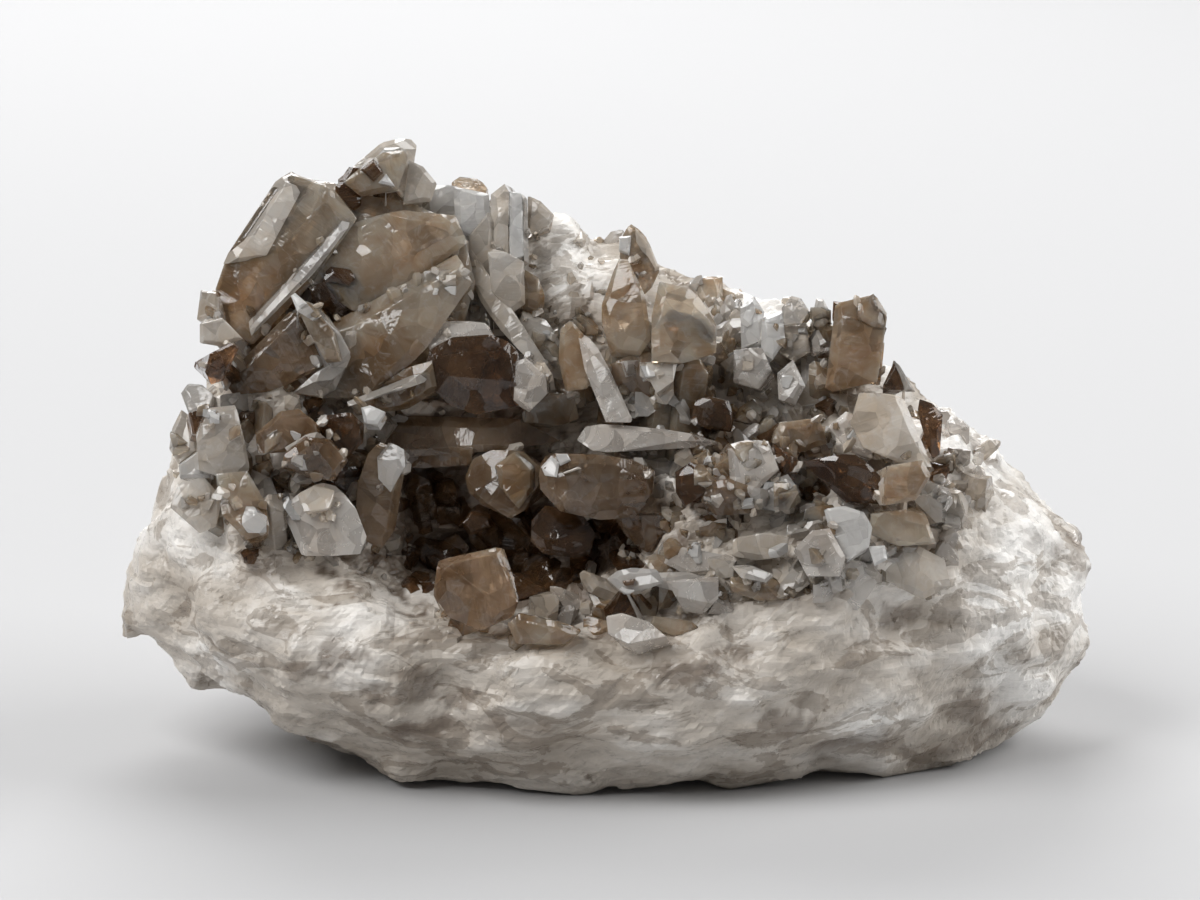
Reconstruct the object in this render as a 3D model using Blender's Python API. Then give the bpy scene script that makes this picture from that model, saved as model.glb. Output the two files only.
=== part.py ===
"""Smoky quartz crystals on a block of milky quartz.

Metres, +X right, +Y back, +Z up. The origin is the middle of the flat spot that the block rests on.
"""

import collections
import math
import random

import bmesh
import bpy
import numpy as np
from mathutils import Matrix, Vector, noise
from mathutils.bvhtree import BVHTree

MM = 0.001

# Clearances between solids that stand against each other
GAP = 0.36 * MM
ROOT = 2.0 * MM
WELD = 0.002 * MM

# The front view: places on the crystals are given in millimetres across and up in it, from its middle
VIEW_DISTANCE = 800 * MM
VIEW_ELEVATION = math.radians(14)
VIEW_MIDDLE = Vector((0, 0, 45.7 * MM))

# Quartz habit: the angle between a termination face's normal and the crystal's long axis
TERMINATION_ANGLE = math.radians(51.8)
QUARTZ_IOR = 1.54
CRYSTAL_SEED = 5

# Milky quartz block: outlines across the length, each from the foot of the front, over the top, to the
# foot of the back. Every outline is (x, then 14 pairs of y and z in millimetres):
# rest edge, low front, front bulge, high front, lip, ledge, slope foot, mid slope, crest front, crest back,
# high back, back bulge, low back, rest edge
BLOCK_OUTLINES = (
    (-74.0, (-5, 15.8), (-7, 16.6), (-8.5, 18), (-9, 20), (-8.4, 21.8), (-7, 23), (-5.4, 23.6),
     (-3.5, 23.6), (-1.6, 23), (-0.4, 21.8), (0, 20.4), (-0.2, 18.6), (-1.2, 17), (-3, 16)),
    (-71.0, (-8, 16.5), (-11, 18), (-13, 21), (-13, 25), (-11.5, 28), (-9.5, 29.5), (-7, 30.5),
     (-4, 30.8), (-1, 30), (2, 28.5), (4, 26), (4.5, 22.5), (2.5, 18.5), (-3, 16.5)),
    (-66.0, (-10, 14), (-15, 17), (-19, 23), (-19, 29), (-16, 35), (-13, 39), (-10, 41),
     (-6, 42.5), (-1, 42), (4, 39), (8, 34), (10, 27), (7, 18.5), (-2, 14)),
    (-60.0, (-14, 11.5), (-20, 15), (-26, 23), (-27, 30), (-23, 37), (-20, 44), (-17, 49),
     (-12, 54), (-4, 57), (5, 54), (13, 45), (17, 32), (13, 18), (-2, 11)),
    (-53.0, (-18, 9.5), (-26, 14), (-32, 23), (-33, 30), (-29, 36), (-25, 43), (-20, 51),
     (-14, 60), (-4, 66), (7, 65), (18, 54), (24, 37), (20, 18), (2, 8)),
    (-46.0, (-21, 6.5), (-29, 11), (-35, 21), (-36, 28), (-32, 34), (-27, 39), (-21, 48),
     (-14, 60), (-2, 71), (10, 71), (22, 58), (28, 39), (24, 16), (6, 4)),
    (-39.0, (-22, 3.2), (-31, 9), (-37, 19), (-38, 26), (-34, 31.5), (-27, 35), (-20, 43),
     (-13, 58), (0, 75), (12, 76), (25, 61), (32, 39), (28, 14), (12, 0.5)),
    (-30.0, (-23, -0.5), (-33, 7), (-39, 17), (-40, 24), (-36, 29), (-26, 29), (-12, 34),
     (-11, 55), (3, 77), (14, 79), (27, 64), (34, 41), (31, 14), (18, -1)),
    (-20.0, (-24, -1), (-34, 6.5), (-40, 16), (-41, 23), (-37, 28), (-25, 27.5), (-9, 30),
     (-9, 52), (6, 78), (16, 80), (29, 66), (36, 42), (33, 14), (21, -1)),
    (-9.0, (-25, -1), (-35, 6), (-41, 15), (-42, 21), (-38, 26), (-25, 26), (-10, 29),
     (-8, 47), (7, 76), (17, 79), (30, 65), (38, 42), (34, 14), (22, -1)),
    (3.0, (-25, -1), (-35, 6), (-42, 15), (-42, 21), (-38, 26), (-29, 29), (-18, 36),
     (-8, 51), (7, 71), (18, 74.5), (30, 61), (38, 40), (34, 14), (22, -1)),
    (15.0, (-24, -1), (-34, 6), (-41, 15), (-41, 24), (-37, 31), (-31, 37), (-22, 44),
     (-9, 54), (7, 65.5), (18, 68), (30, 56), (37, 38), (33, 14), (22, -1)),
    (29.0, (-21, -1), (-32, 6), (-39, 16), (-39, 28), (-35, 37), (-29, 42), (-21, 47),
     (-9, 55), (5, 63.5), (16, 65.5), (28, 54), (35, 36), (31, 14), (21, -1)),
    (40.0, (-19, -1), (-29, 6), (-36, 17), (-36, 32), (-32, 42.5), (-27, 46), (-19, 49),
     (-8, 54), (4, 58.5), (15, 59.5), (26, 49), (32, 34), (28, 13), (20, -1)),
    (50.0, (-15, -1), (-24, 5), (-31, 18), (-31, 33), (-28, 43.5), (-23, 48), (-16, 51),
     (-6, 53), (4, 53.5), (13, 52.5), (22, 44), (27, 31), (24, 13), (17, -1)),
    (62.0, (-8, 1.5), (-17, 6), (-24, 18), (-25, 29), (-22, 37.5), (-17, 42), (-11, 44),
     (-3, 45), (5, 44), (11, 42), (17, 36), (21, 26), (18, 13), (8, 2)),
    (70.0, (-6, 6.5), (-13, 10), (-18, 18.5), (-18, 27), (-15, 32.5), (-12, 35), (-7, 36),
     (-2, 36.5), (4, 35.5), (8, 33.5), (12, 29), (14, 23), (12, 15), (3, 7.5)),
    (74.5, (-5, 12.5), (-9, 15.5), (-12, 20.5), (-12, 26), (-10, 30), (-8, 32.5), (-5, 33.5),
     (-1, 33.7), (3, 32.5), (6, 30.5), (9, 27), (10, 22), (8, 16.5), (0, 13)),
)
STEPS_ROUND = 3
STEPS_ALONG = 3
REST_SNAP = 0.7 * MM

# Weathering of the block, in millimetres
LUMP_SIZE, LUMP_HEIGHT = 15.0, 1.5
GRAIN_SIZE, GRAIN_HEIGHT = 6.0, 0.8
LEDGE_PITCH, LEDGE_HEIGHT = 9.0, 0.7
CHIPS = 46
CHIP_RADIUS = (7.0, 15.0)
CHIP_DEEPEST = 2.2
END_X, END_FADE = 76.0, 9.0

# Pits in the front of the block: (across, up) in the front view, radius and depth in millimetres
PITS = (((45.4, -25.4), 5.5, 4.0), ((-24.6, -38.6), 6.0, 3.2), ((20.5, -31.0), 5.0, 2.4))

# How far faces may lean to each other and still be merged into one
BLOCK_FLATNESS = math.radians(12)
CRYSTAL_FLATNESS = math.radians(1)

# A crystal: foot and tip as (across, up) in the view it is read in, how far the tip stands nearer to the
# viewer than the foot, width, thickness, turn of the flat face about the long axis, how far the sides
# close in towards the tip (degrees), how unequal the end faces are (share of the width), how far the body
# stands to the side of its tip (share of the width), and the view's direction round the block (0 from the
# front, 180 from behind). Lengths are in millimetres.
Crystal = collections.namedtuple(
    "Crystal", "foot tip out width thickness roll lean blunt aside view",
    defaults=(None, 0, 1.5, 0.25, 0, 0),
)

# Crystals that overlap are one solid. A later group gives way to the groups before it.
GROUPS = {
    "left_druse": (
        Crystal((-61, 0), (-63.8, 10.2), 0, 6.4, roll=15),
        Crystal((-61, 3), (-61.4, 25.4), 0, 4.6, roll=10),
        Crystal((-59.4, 4), (-59.2, 20.8), 4, 4.6, roll=25),
        Crystal((-61.6, 2), (-62.6, 19), 3, 4.6),
        Crystal((-58, 3), (-58.8, 16), 9, 6.4),
        Crystal((-61, -5), (-65, 4), 1, 6, roll=5),
        Crystal((-60, -3), (-60.6, 6.6), 5, 5.6, roll=20),
        Crystal((-62, -8), (-66, -0.5), 0, 6),
        Crystal((-57, -6), (-57.4, 8.6), 4, 7, 4.4, 6),
        Crystal((-61, -12), (-61.6, -4.8), 5, 6.4, roll=12),
        Crystal((-57, -10), (-58, -1), 6, 7, roll=20),
        Crystal((-53, -13), (-55.2, -5), 5, 6, roll=10),
        Crystal((-50, -14), (-51.6, -5), 5, 5.6, roll=20),
    ),
    "upper_left_blades": (
        Crystal((-58, 9), (-48.2, 43.8), -13, 8, 8, 30),
        Crystal((-56, 9), (-44, 41.2), -12, 13, 9, -12, blunt=0.1),
        Crystal((-53, 10), (-40, 39.6), -11, 8.5, 8, -20),
        Crystal((-51, 10), (-37.4, 36.6), -10, 6, 6, 10),
        Crystal((-49, 12), (-30, 38.2), -13, 8.5, 8, 8),
        Crystal((-48, 8), (-23.2, 36.4), -12, 10.5, 8, 4),
        Crystal((-52, 6), (-20.4, 27.6), -10, 10, 8, 0),
        Crystal((-42, 4), (-18.4, 18), -2, 11.5, 9, 12),
    ),
    "summit_crystals": (
        Crystal((-36, 26), (-33.8, 48.2), -4, 9.4, 8, 6, blunt=0.05, aside=-0.16),
        Crystal((-32, 26), (-29.5, 48.7), -3, 6.6, 6, 10, blunt=0.1),
        Crystal((-41, 26), (-39, 44), -1, 5.6, roll=15),
        Crystal((-34, 26), (-34, 44.6), 2, 6.4),
        Crystal((-29.6, 26), (-28.6, 43.6), 2, 7.5, roll=25),
        Crystal((-26.4, 27), (-25.2, 42.6), -2, 4.6, roll=20),
    ),
    "small_clear_point": (
        Crystal((-39, 12), (-47.6, 24.4), 14, 4.6, 4.2, 20, 0.5),
    ),
    "right_tower": (
        Crystal((38, 8), (41.8, 25), 2, 9.4, 8.6, 24, blunt=0.1, aside=-0.08),
        Crystal((36, 9), (36.9, 22.4), 3, 5.4, roll=10),
        Crystal((42, 8), (43.4, 18.8), 3, 4, roll=15),
    ),
    "pale_blade": (
        Crystal((4.4, 2), (-4.2, 18.9), 10, 5.4, 2.6, 4, 0.3, 0.1),
    ),
    "centre_spires": (
        Crystal((5, 9), (3.2, 30.6), 4, 6.2, 5.6, 15),
        Crystal((7, 12), (5, 35.8), -1, 6.8, 6, 30),
        Crystal((11, 5), (13.4, 26.2), 4, 11.5, 9, 18, blunt=0.12),
        Crystal((11, 14), (10.6, 29.4), -2, 5),
        Crystal((4, 5), (6.6, 19.6), 7, 7, roll=20),
        Crystal((7, 4), (11.4, 15.2), 8, 5, roll=10),
        Crystal((15, 5), (17.6, 16), 7, 6, roll=28),
        Crystal((15, 3.6), (15.8, 8.6), 10, 5, roll=8),
        Crystal((18, 4), (18.8, 8), 9, 5.4, roll=24),
    ),
    "centre_pale_crystals": (
        Crystal((-13, 19), (-14.8, 41.6), -2, 6.4, 5, 4),
        Crystal((-11.5, 18), (-11.2, 38.8), -3, 3.6, roll=20),
        Crystal((-23, 23), (-22, 40.8), -2, 7.4, roll=12),
        Crystal((-18, 22), (-18, 40.6), -3, 6.6, roll=-8),
        Crystal((-8, 9), (-20.8, 32.2), 6, 5.4, 4.6, 12),
        Crystal((-9, 12), (-15.4, 29), 4, 5, roll=-15),
        Crystal((-10, 17), (-10.4, 28), 4, 3.6, roll=10),
        Crystal((-7, 12), (-12, 22), 6, 4, roll=20),
    ),
    "dark_crystal": (
        Crystal((-7, 9), (-27.4, 16.4), 12, 12.6, 11, 22, blunt=0.2),
        Crystal((-8, 3), (-12.6, 14.6), 10, 7, 6, 8),
        Crystal((-5, 5), (-5.4, 20.6), 9, 5.4, roll=20),
    ),
    "roof_crystal": (
        Crystal((-12, 1), (-42, 1.6), 8, 9.8, 8, 14),
    ),
    "overhanging_crystals": (
        Crystal((11, -5), (-10, -4.2), 6, 10.6, 9.4, 20, blunt=0.2),
        Crystal((9, -10), (3.4, -14.6), 5, 7.4),
    ),
    "overhanging_crystal_left": (
        Crystal((-6, 0), (-19.6, -6), 12, 12.4, 11, 10, blunt=0.3),
    ),
    "hanging_crystal": (
        Crystal((-2, -9), (-9.4, -16.6), 11, 7.6, roll=20),
    ),
    "grey_slab": (
        Crystal((17, 1.4), (-3.2, 2.8), 6, 5.4, 5, 14, 2.5),
        Crystal((15, -2.4), (3.6, -1), 5, 5.4),
    ),
    "pocket_pillar": (
        Crystal((-34, -16), (-34.6, 1.9), 3, 8.4, 7, 8, blunt=0.1),
        Crystal((-32.4, -9), (-31.8, 0.6), 7, 5.6, roll=20),
    ),
    "frosted_knob": (
        Crystal((-43, -12), (-43.6, -4), 7, 12, roll=14, blunt=0.1),
        Crystal((-40, -14), (-38.8, -6.6), 6, 7.4),
    ),
    "left_pocket_crystals": (
        Crystal((-48, -3), (-48.4, 6.2), 8, 9.5, roll=15),
        Crystal((-52, -3), (-52, 4.6), 7, 5.4),
        Crystal((-45, -7), (-44.4, 2), 10, 8.6, roll=20),
        Crystal((-40, -4), (-39.9, 5.6), 6, 7.6, roll=8),
        Crystal((-37, 1), (-35.4, 8), 11, 5),
    ),
    "right_ledge_crystals": (
        Crystal((48, -4), (43.6, 11.4), 2, 9.4, 5, 6, blunt=0.1),
        Crystal((45, -3), (39.4, 10), 5, 8.4, 5, -6, blunt=0.1),
        Crystal((46, -4), (31.4, -1.8), 8, 7.4, 5.4, 10),
        Crystal((44, -8), (51, -3), 6, 6, roll=12),
        Crystal((36, -8), (33.6, -3.8), 7, 4.6),
        Crystal((41, -1), (37.6, 6), 7, 7, roll=20),
    ),
    "rough_ledge_crystals": (
        Crystal((33, -3), (33, 5), 5, 7.4, roll=8),
        Crystal((29, -5), (29.6, 3.6), 6, 7, roll=15),
        Crystal((25.6, -6), (25.2, 2.4), 6, 7.4),
        Crystal((21, -6), (21, 1.8), 6, 7.2, roll=22),
        Crystal((25, -9), (24.4, -2.6), 7, 7.8, roll=10),
        Crystal((29.4, -9), (30, -3.4), 6, 7, roll=20),
        Crystal((20.6, -10), (19.6, -3.6), 6, 7.6, roll=14),
        Crystal((16, -8), (14.6, -2), 7, 6.6, 6, 6),
    ),
    "slim_dark_crystal_upper": (
        Crystal((47.4, 5), (45.4, 14.4), 4, 3.8, 3.4, 22),
    ),
    "slim_dark_crystal_lower": (
        Crystal((52, -3), (51.6, 8.2), 3, 4.4, 3.4, 22),
    ),
    "right_crest_crystals": (
        Crystal((30, 12), (30.2, 24.4), 1, 5.4, roll=12),
        Crystal((33, 12), (34, 24), 1, 4.4, roll=20),
        Crystal((26.2, 12), (25.8, 24), 1, 5.4),
        Crystal((22.4, 13), (22.2, 25), 1, 5.4, roll=18),
        Crystal((24, 8), (23.4, 18), 4, 6.6, roll=8),
        Crystal((27.4, 6), (27.8, 15.4), 4, 6, roll=8),
    ),
    "front_right_crystals": (
        Crystal((39, -15), (39, -8.4), 5, 8.4, roll=10),
        Crystal((34, -19), (33.4, -12.6), 5, 8.4, roll=20),
        Crystal((47, -15), (45.4, -9.6), 4, 7.4, roll=6),
        Crystal((43.4, -19), (43, -13.8), 4, 4.6),
        Crystal((51, -22), (45, -18.4), 5, 6.8, roll=12),
    ),
    "front_ledge_crystals": (
        Crystal((13, -17), (11.6, -11.6), 4, 7, roll=8),
        Crystal((18, -19), (17.4, -13.4), 4, 7.4, roll=20),
        Crystal((23.4, -19), (23, -13), 4, 7.6, roll=12),
        Crystal((28, -21), (28.4, -15), 4, 7, roll=26),
    ),
    "front_knob": (
        Crystal((-19, -27), (-18.6, -15.2), 3, 11, roll=20, blunt=0.1),
        Crystal((-15.6, -26), (-15.4, -15.6), 1, 6, roll=4),
        Crystal((-24, -25), (-24, -17), 2, 7),
    ),
    "clear_lip_point": (
        Crystal((13, -21.6), (0.8, -20.2), 4, 5.4, 4.8, 20),
    ),
    "pale_lip_crystals": (
        Crystal((8, -30), (4, -24.4), 3, 8.6, 6.4, 6),
        Crystal((2, -29), (-15.6, -26.6), 4, 5.6, 4.8, 12),
    ),
    "pocket_crust": (
        Crystal((-22, -19), (-30.6, -14), -2, 6.8, roll=10),
        Crystal((-17, -13), (-20.6, -9), 7, 5.4, roll=8),
        Crystal((-24, -12), (-24.6, -6.4), 3, 6.4),
        Crystal((-27.4, -8), (-28.4, -3), 4, 5.6, roll=20),
        Crystal((-14, -16), (-13, -11), 5, 6, roll=12),
        Crystal((-10, -19), (-9.4, -15.4), 4, 6),
        Crystal((-6, -21), (-5, -17.6), 4, 6, roll=16),
        Crystal((-23, -16), (-22, -12), 4, 6, roll=14),
        Crystal((-19, -18), (-18, -14), 3, 6),
        Crystal((-8, -20), (-7, -16), 3, 6),
    ),
    "back_crest_crystals": (
        Crystal((26, 16), (28, 27), 7, 6.6, roll=10, view=180),
        Crystal((22, 18), (22, 30), 6, 7, roll=20, view=180),
        Crystal((17, 17), (15.4, 27), 8, 6.4, view=180),
        Crystal((24, 11), (25, 19), 9, 6.4, roll=24, view=180),
        Crystal((19, 12), (18.4, 20), 9, 6.4, roll=12, view=180),
    ),
}

# Colours (linear), roughness and how clear each kind of quartz is
LOOKS = {
    "milky": ((0.58, 0.54, 0.49), 0.5, 0.1),
    "pale": ((0.55, 0.49, 0.43), 0.15, 0.6),
    "smoky": ((0.30, 0.21, 0.14), 0.12, 0.6),
    "dark": ((0.10, 0.055, 0.03), 0.1, 0.5),
}
GROUP_LOOKS = {
    "milky_quartz_block": "milky",
    "centre_pale_crystals": "pale",
    "pale_blade": "pale",
    "small_clear_point": "pale",
    "left_druse": "pale",
    "right_crest_crystals": "pale",
    "front_right_crystals": "pale",
    "clear_lip_point": "pale",
    "pale_lip_crystals": "pale",
    "frosted_knob": "pale",
    "front_ledge_crystals": "pale",
    "grey_slab": "pale",
    "pocket_pillar": "pale",
    "back_crest_crystals": "pale",
    "dark_crystal": "dark",
    "pocket_crust": "dark",
    "slim_dark_crystal_upper": "dark",
    "slim_dark_crystal_lower": "dark",
}


def view_axes(view=0):
    """A view's directions: to the right, up, and towards the viewer."""
    round_block = Matrix.Rotation(math.radians(view), 3, "Z")
    towards = round_block @ Vector((0, -math.cos(VIEW_ELEVATION), math.sin(VIEW_ELEVATION)))
    right = round_block @ Vector((1, 0, 0))
    return right, towards.cross(right), towards


def sight_line(across, up, view=0):
    """Start and direction of the line of sight through a place in a view."""
    right, upward, towards = view_axes(view)
    eye = VIEW_MIDDLE + towards * VIEW_DISTANCE
    place = VIEW_MIDDLE + right * across * MM + upward * up * MM
    return eye, (place - eye).normalized()


def curve_through(points, steps, closed):
    """Points along a smooth Catmull-Rom curve, with this many steps between each pair of given points."""
    points = np.asarray(points, float)
    if closed:
        before, after, later = (np.roll(points, shift, axis=0) for shift in (1, -1, -2))
        start = points
    else:
        padded = np.concatenate([2 * points[:1] - points[1:2], points, 2 * points[-1:] - points[-2:-1]])
        before, start, after, later = padded[:-3], padded[1:-2], padded[2:-1], padded[3:]
    rows = []
    for step in range(steps):
        t = step / steps
        rows.append(
            0.5 * (2 * start + (after - before) * t
                   + (2 * before - 5 * start + 4 * after - later) * t ** 2
                   + (3 * start - before - 3 * after + later) * t ** 3)
        )
    curve = np.stack(rows, axis=1).reshape(-1, *points.shape[1:])
    return curve if closed else np.concatenate([curve, points[-1:]])


def loft_block():
    """The block as a closed mesh through its outlines, before weathering."""
    rings = np.array([
        [(outline[0], y, z) for y, z in outline[1:]] for outline in BLOCK_OUTLINES
    ])
    rings = curve_through(rings, STEPS_ALONG, closed=False)
    rings = [curve_through(ring, STEPS_ROUND, closed=True) * MM for ring in rings]
    mesh = bmesh.new()
    rows = [[mesh.verts.new(point) for point in ring] for ring in rings]
    count = len(rows[0])
    for row, following in zip(rows, rows[1:]):
        for i in range(count):
            j = (i + 1) % count
            mesh.faces.new((row[i], row[j], following[j], following[i]))
    for row, outward in ((rows[0], -1), (rows[-1], 1)):
        middle = sum((vert.co for vert in row), Vector()) / count
        tip = mesh.verts.new(middle + Vector((outward * MM, 0, 0)))
        for i in range(count):
            mesh.faces.new((row[i], row[(i + 1) % count], tip))
    bmesh.ops.recalc_face_normals(mesh, faces=mesh.faces)
    return mesh


def weather(mesh):
    """Adds lumps, flow-like ledges and flat broken faces to the block, then its flat rest."""
    mesh.normal_update()
    moves = []
    for vert in mesh.verts:
        place = vert.co / MM
        lumps = noise.fractal(place / LUMP_SIZE, 1.0, 2.0, 2)
        grain = noise.noise(place / GRAIN_SIZE + Vector((7, 3, 1)))
        band = place.z - 0.16 * place.x + 4 * noise.noise(place / 22)
        ledge = abs((band / LEDGE_PITCH) % 1 - 0.35)
        height = LUMP_HEIGHT * lumps + GRAIN_HEIGHT * grain - LEDGE_HEIGHT * ledge
        fade = min(1, max(0, END_X - abs(place.x)) / END_FADE)
        moves.append(vert.normal * height * fade * MM)
    for vert, move in zip(mesh.verts, moves):
        vert.co += move
    draws = random.Random(11)
    mesh.verts.ensure_lookup_table()
    for _ in range(CHIPS):
        mesh.normal_update()
        struck = mesh.verts[draws.randrange(len(mesh.verts))]
        tilt = Vector(draws.uniform(-0.3, 0.3) for _ in range(3))
        normal = (struck.normal + tilt).normalized()
        face = struck.co - normal * draws.uniform(0.4, 1.3) * MM
        radius = draws.uniform(*CHIP_RADIUS) * MM
        if END_X * MM - abs(struck.co.x) < radius:
            continue
        for vert in mesh.verts:
            proud = (vert.co - face).dot(normal)
            near = (vert.co - struck.co).length < radius
            if near and 0 < proud < CHIP_DEEPEST * MM and vert.normal.dot(normal) > 0.6:
                vert.co -= normal * proud
    mesh.normal_update()
    tree = BVHTree.FromBMesh(mesh)
    for place, radius, depth in PITS:
        middle, inwards = tree.ray_cast(*sight_line(*place))[:2]
        for vert in mesh.verts:
            share = (vert.co - middle).length / (radius * MM)
            if share < 1:
                vert.co -= inwards * depth * (1 - share ** 2) * MM
    for vert in mesh.verts:
        if vert.co.z < REST_SNAP:
            vert.co.z = 0
    resting = [
        edge for edge in mesh.edges
        if len(edge.link_faces) == 2
        and all(vert.co.z == 0 for face in edge.link_faces for vert in face.verts)
    ]
    bmesh.ops.dissolve_edges(mesh, edges=resting, use_verts=True)
    bmesh.ops.dissolve_limit(
        mesh, angle_limit=BLOCK_FLATNESS, verts=mesh.verts, edges=mesh.edges, use_dissolve_boundaries=False
    )
    bmesh.ops.triangulate(mesh, faces=mesh.faces)


def inflated(mesh, distance):
    """A copy of the mesh whose points stand this far outside it."""
    copy = mesh.copy()
    copy.normal_update()
    places = [vert.co + vert.normal * distance for vert in copy.verts]
    for vert, place in zip(copy.verts, places):
        vert.co = place
    return copy


def foot_and_tip(crystal, block_tree):
    """Where the crystal leaves the block, and its tip."""
    eye, line = sight_line(*crystal.foot, crystal.view)
    foot = block_tree.ray_cast(eye, line)[0]
    if foot is None:
        middle = eye - line * (eye.dot(line) / line.dot(line))
        foot = block_tree.find_nearest(middle)[0]
    outwards = Matrix.Rotation(math.radians(crystal.view), 3, "Z") @ Vector((0, -1, 0))
    eye, line = sight_line(*crystal.tip, crystal.view)
    tip_depth = foot.dot(outwards) + crystal.out * MM
    return foot, eye + line * ((tip_depth - eye.dot(outwards)) / line.dot(outwards))


def crystal_planes(crystal, block_tree, draws):
    """The faces of one crystal, each as a point on it and its outward direction."""
    foot, tip = foot_and_tip(crystal, block_tree)
    axis = (tip - foot).normalized()
    root = foot - axis * (ROOT + 0.3 * crystal.width * MM)
    towards = view_axes(crystal.view)[2]
    facing = (towards - axis * towards.dot(axis)).normalized()
    facing = Matrix.Rotation(math.radians(crystal.roll), 3, axis) @ facing
    side = axis.cross(facing)
    thickness = crystal.thickness or 0.88 * crystal.width
    body = foot + side * crystal.aside * crystal.width * MM
    planes = [(root, -axis)]
    for k in range(6):
        angle = math.radians(60 * k)
        radial = facing * math.cos(angle) + side * math.sin(angle)
        reach = thickness / 2 if k in (0, 3) else crystal.width / 2 * math.cos(math.pi / 6)
        reach *= draws.uniform(0.92, 1.08) * MM
        normal = (radial + axis * math.tan(math.radians(crystal.lean))).normalized()
        planes.append((body + radial * reach, normal))
        drop = crystal.blunt * crystal.width * draws.uniform(-0.9, 1.0) * MM
        slope = axis * math.cos(TERMINATION_ANGLE) + radial * math.sin(TERMINATION_ANGLE)
        planes.append((tip - axis * drop, slope))
    return planes, (root + tip) / 2, (tip - root).length


def crystal_mesh(planes, middle, length, grow=0.0):
    """A block cut down to the crystal's faces, each moved outwards by grow."""
    mesh = bmesh.new()
    bmesh.ops.create_cube(mesh, size=3 * length, matrix=Matrix.Translation(middle))
    for place, normal in planes:
        cut = bmesh.ops.bisect_plane(
            mesh, geom=mesh.verts[:] + mesh.edges[:] + mesh.faces[:], dist=1e-7,
            plane_co=place + normal * grow, plane_no=normal, clear_outer=True,
        )
        rim = [item for item in cut["geom_cut"] if isinstance(item, bmesh.types.BMEdge)]
        if rim:
            bmesh.ops.holes_fill(mesh, edges=rim, sides=0)
    bmesh.ops.recalc_face_normals(mesh, faces=mesh.faces)
    return mesh


def object_of(mesh, name, collection):
    """A new object that holds the mesh, in the collection."""
    data = bpy.data.meshes.new(name)
    mesh.to_mesh(data)
    mesh.free()
    made = bpy.data.objects.new(name, data)
    collection.objects.link(made)
    return made


def hide(helper):
    helper.hide_render = True
    helper.display_type = "WIRE"


def overlapping(first, second):
    """Whether the boxes round two objects meet."""
    boxes = [np.array([corner[:] for corner in item.bound_box]) for item in (first, second)]
    return bool(
        (boxes[0].min(0) <= boxes[1].max(0)).all() and (boxes[1].min(0) <= boxes[0].max(0)).all()
    )


def combined(base, others, operation, name):
    """The mesh left after a Boolean of the base with all the others."""
    operands = new_collection(name + "_operands")
    for other in others:
        operands.objects.link(other)
    boolean = base.modifiers.new(operation.lower(), "BOOLEAN")
    boolean.operation = operation
    boolean.operand_type = "COLLECTION"
    boolean.collection = operands
    boolean.solver = "EXACT"
    graph = bpy.context.evaluated_depsgraph_get()
    result = bpy.data.meshes.new_from_object(base.evaluated_get(graph))
    base.modifiers.clear()
    base.data = result
    bpy.data.collections.remove(operands)


def keep_largest_body(item):
    """Drops the loose slivers that cutting leaves, and points that lie on one another."""
    mesh = bmesh.new()
    mesh.from_mesh(item.data)
    bmesh.ops.remove_doubles(mesh, verts=mesh.verts, dist=WELD)
    bmesh.ops.dissolve_degenerate(mesh, edges=mesh.edges, dist=WELD)
    bmesh.ops.dissolve_limit(mesh, angle_limit=CRYSTAL_FLATNESS, verts=mesh.verts, edges=mesh.edges)
    bmesh.ops.triangulate(mesh, faces=mesh.faces)
    left = set(mesh.verts)
    bodies = []
    while left:
        body, edge_of = set(), [left.pop()]
        while edge_of:
            vert = edge_of.pop()
            body.add(vert)
            for edge in vert.link_edges:
                other = edge.other_vert(vert)
                if other in left:
                    left.remove(other)
                    edge_of.append(other)
        bodies.append(body)
    bodies.sort(key=body_size)
    loose = [vert for body in bodies[:-1] for vert in body]
    bmesh.ops.delete(mesh, geom=loose, context="VERTS")
    mesh.to_mesh(item.data)
    mesh.free()


def body_size(body):
    """The diagonal of the box round a set of points."""
    places = np.array([vert.co[:] for vert in body])
    return float(np.linalg.norm(places.max(0) - places.min(0)))


def clear_scene():
    for old in list(bpy.data.objects):
        bpy.data.objects.remove(old, do_unlink=True)


def new_collection(name):
    made = bpy.data.collections.new(name)
    bpy.context.scene.collection.children.link(made)
    return made


def quartz_material(look):
    colour, roughness, clearness = LOOKS[look]
    material = bpy.data.materials.new(look + "_quartz")
    material.use_nodes = True
    shader = material.node_tree.nodes["Principled BSDF"]
    shader.inputs["Base Color"].default_value = (*colour, 1)
    shader.inputs["Roughness"].default_value = roughness
    shader.inputs["Metallic"].default_value = 0
    shader.inputs["IOR"].default_value = QUARTZ_IOR
    shader.inputs["Transmission Weight"].default_value = clearness
    return material


def grow_group(name, crystals, block_tree, draws, parts, helpers):
    """One solid of the crystals of a group, and the clearance round each of them."""
    planes = [crystal_planes(crystal, block_tree, draws) for crystal in crystals]
    solids = [object_of(crystal_mesh(*each), f"{name}_{i}", helpers) for i, each in enumerate(planes)]
    group = object_of(crystal_mesh(*planes[0]), name, parts)
    if len(solids) > 1:
        combined(group, solids[1:], "UNION", name)
    for solid in solids:
        bpy.data.objects.remove(solid, do_unlink=True)
    rooms = [
        object_of(crystal_mesh(*each, grow=GAP), f"{name}_room_{i}", helpers)
        for i, each in enumerate(planes)
    ]
    for room in rooms:
        hide(room)
    return group, rooms


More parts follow.
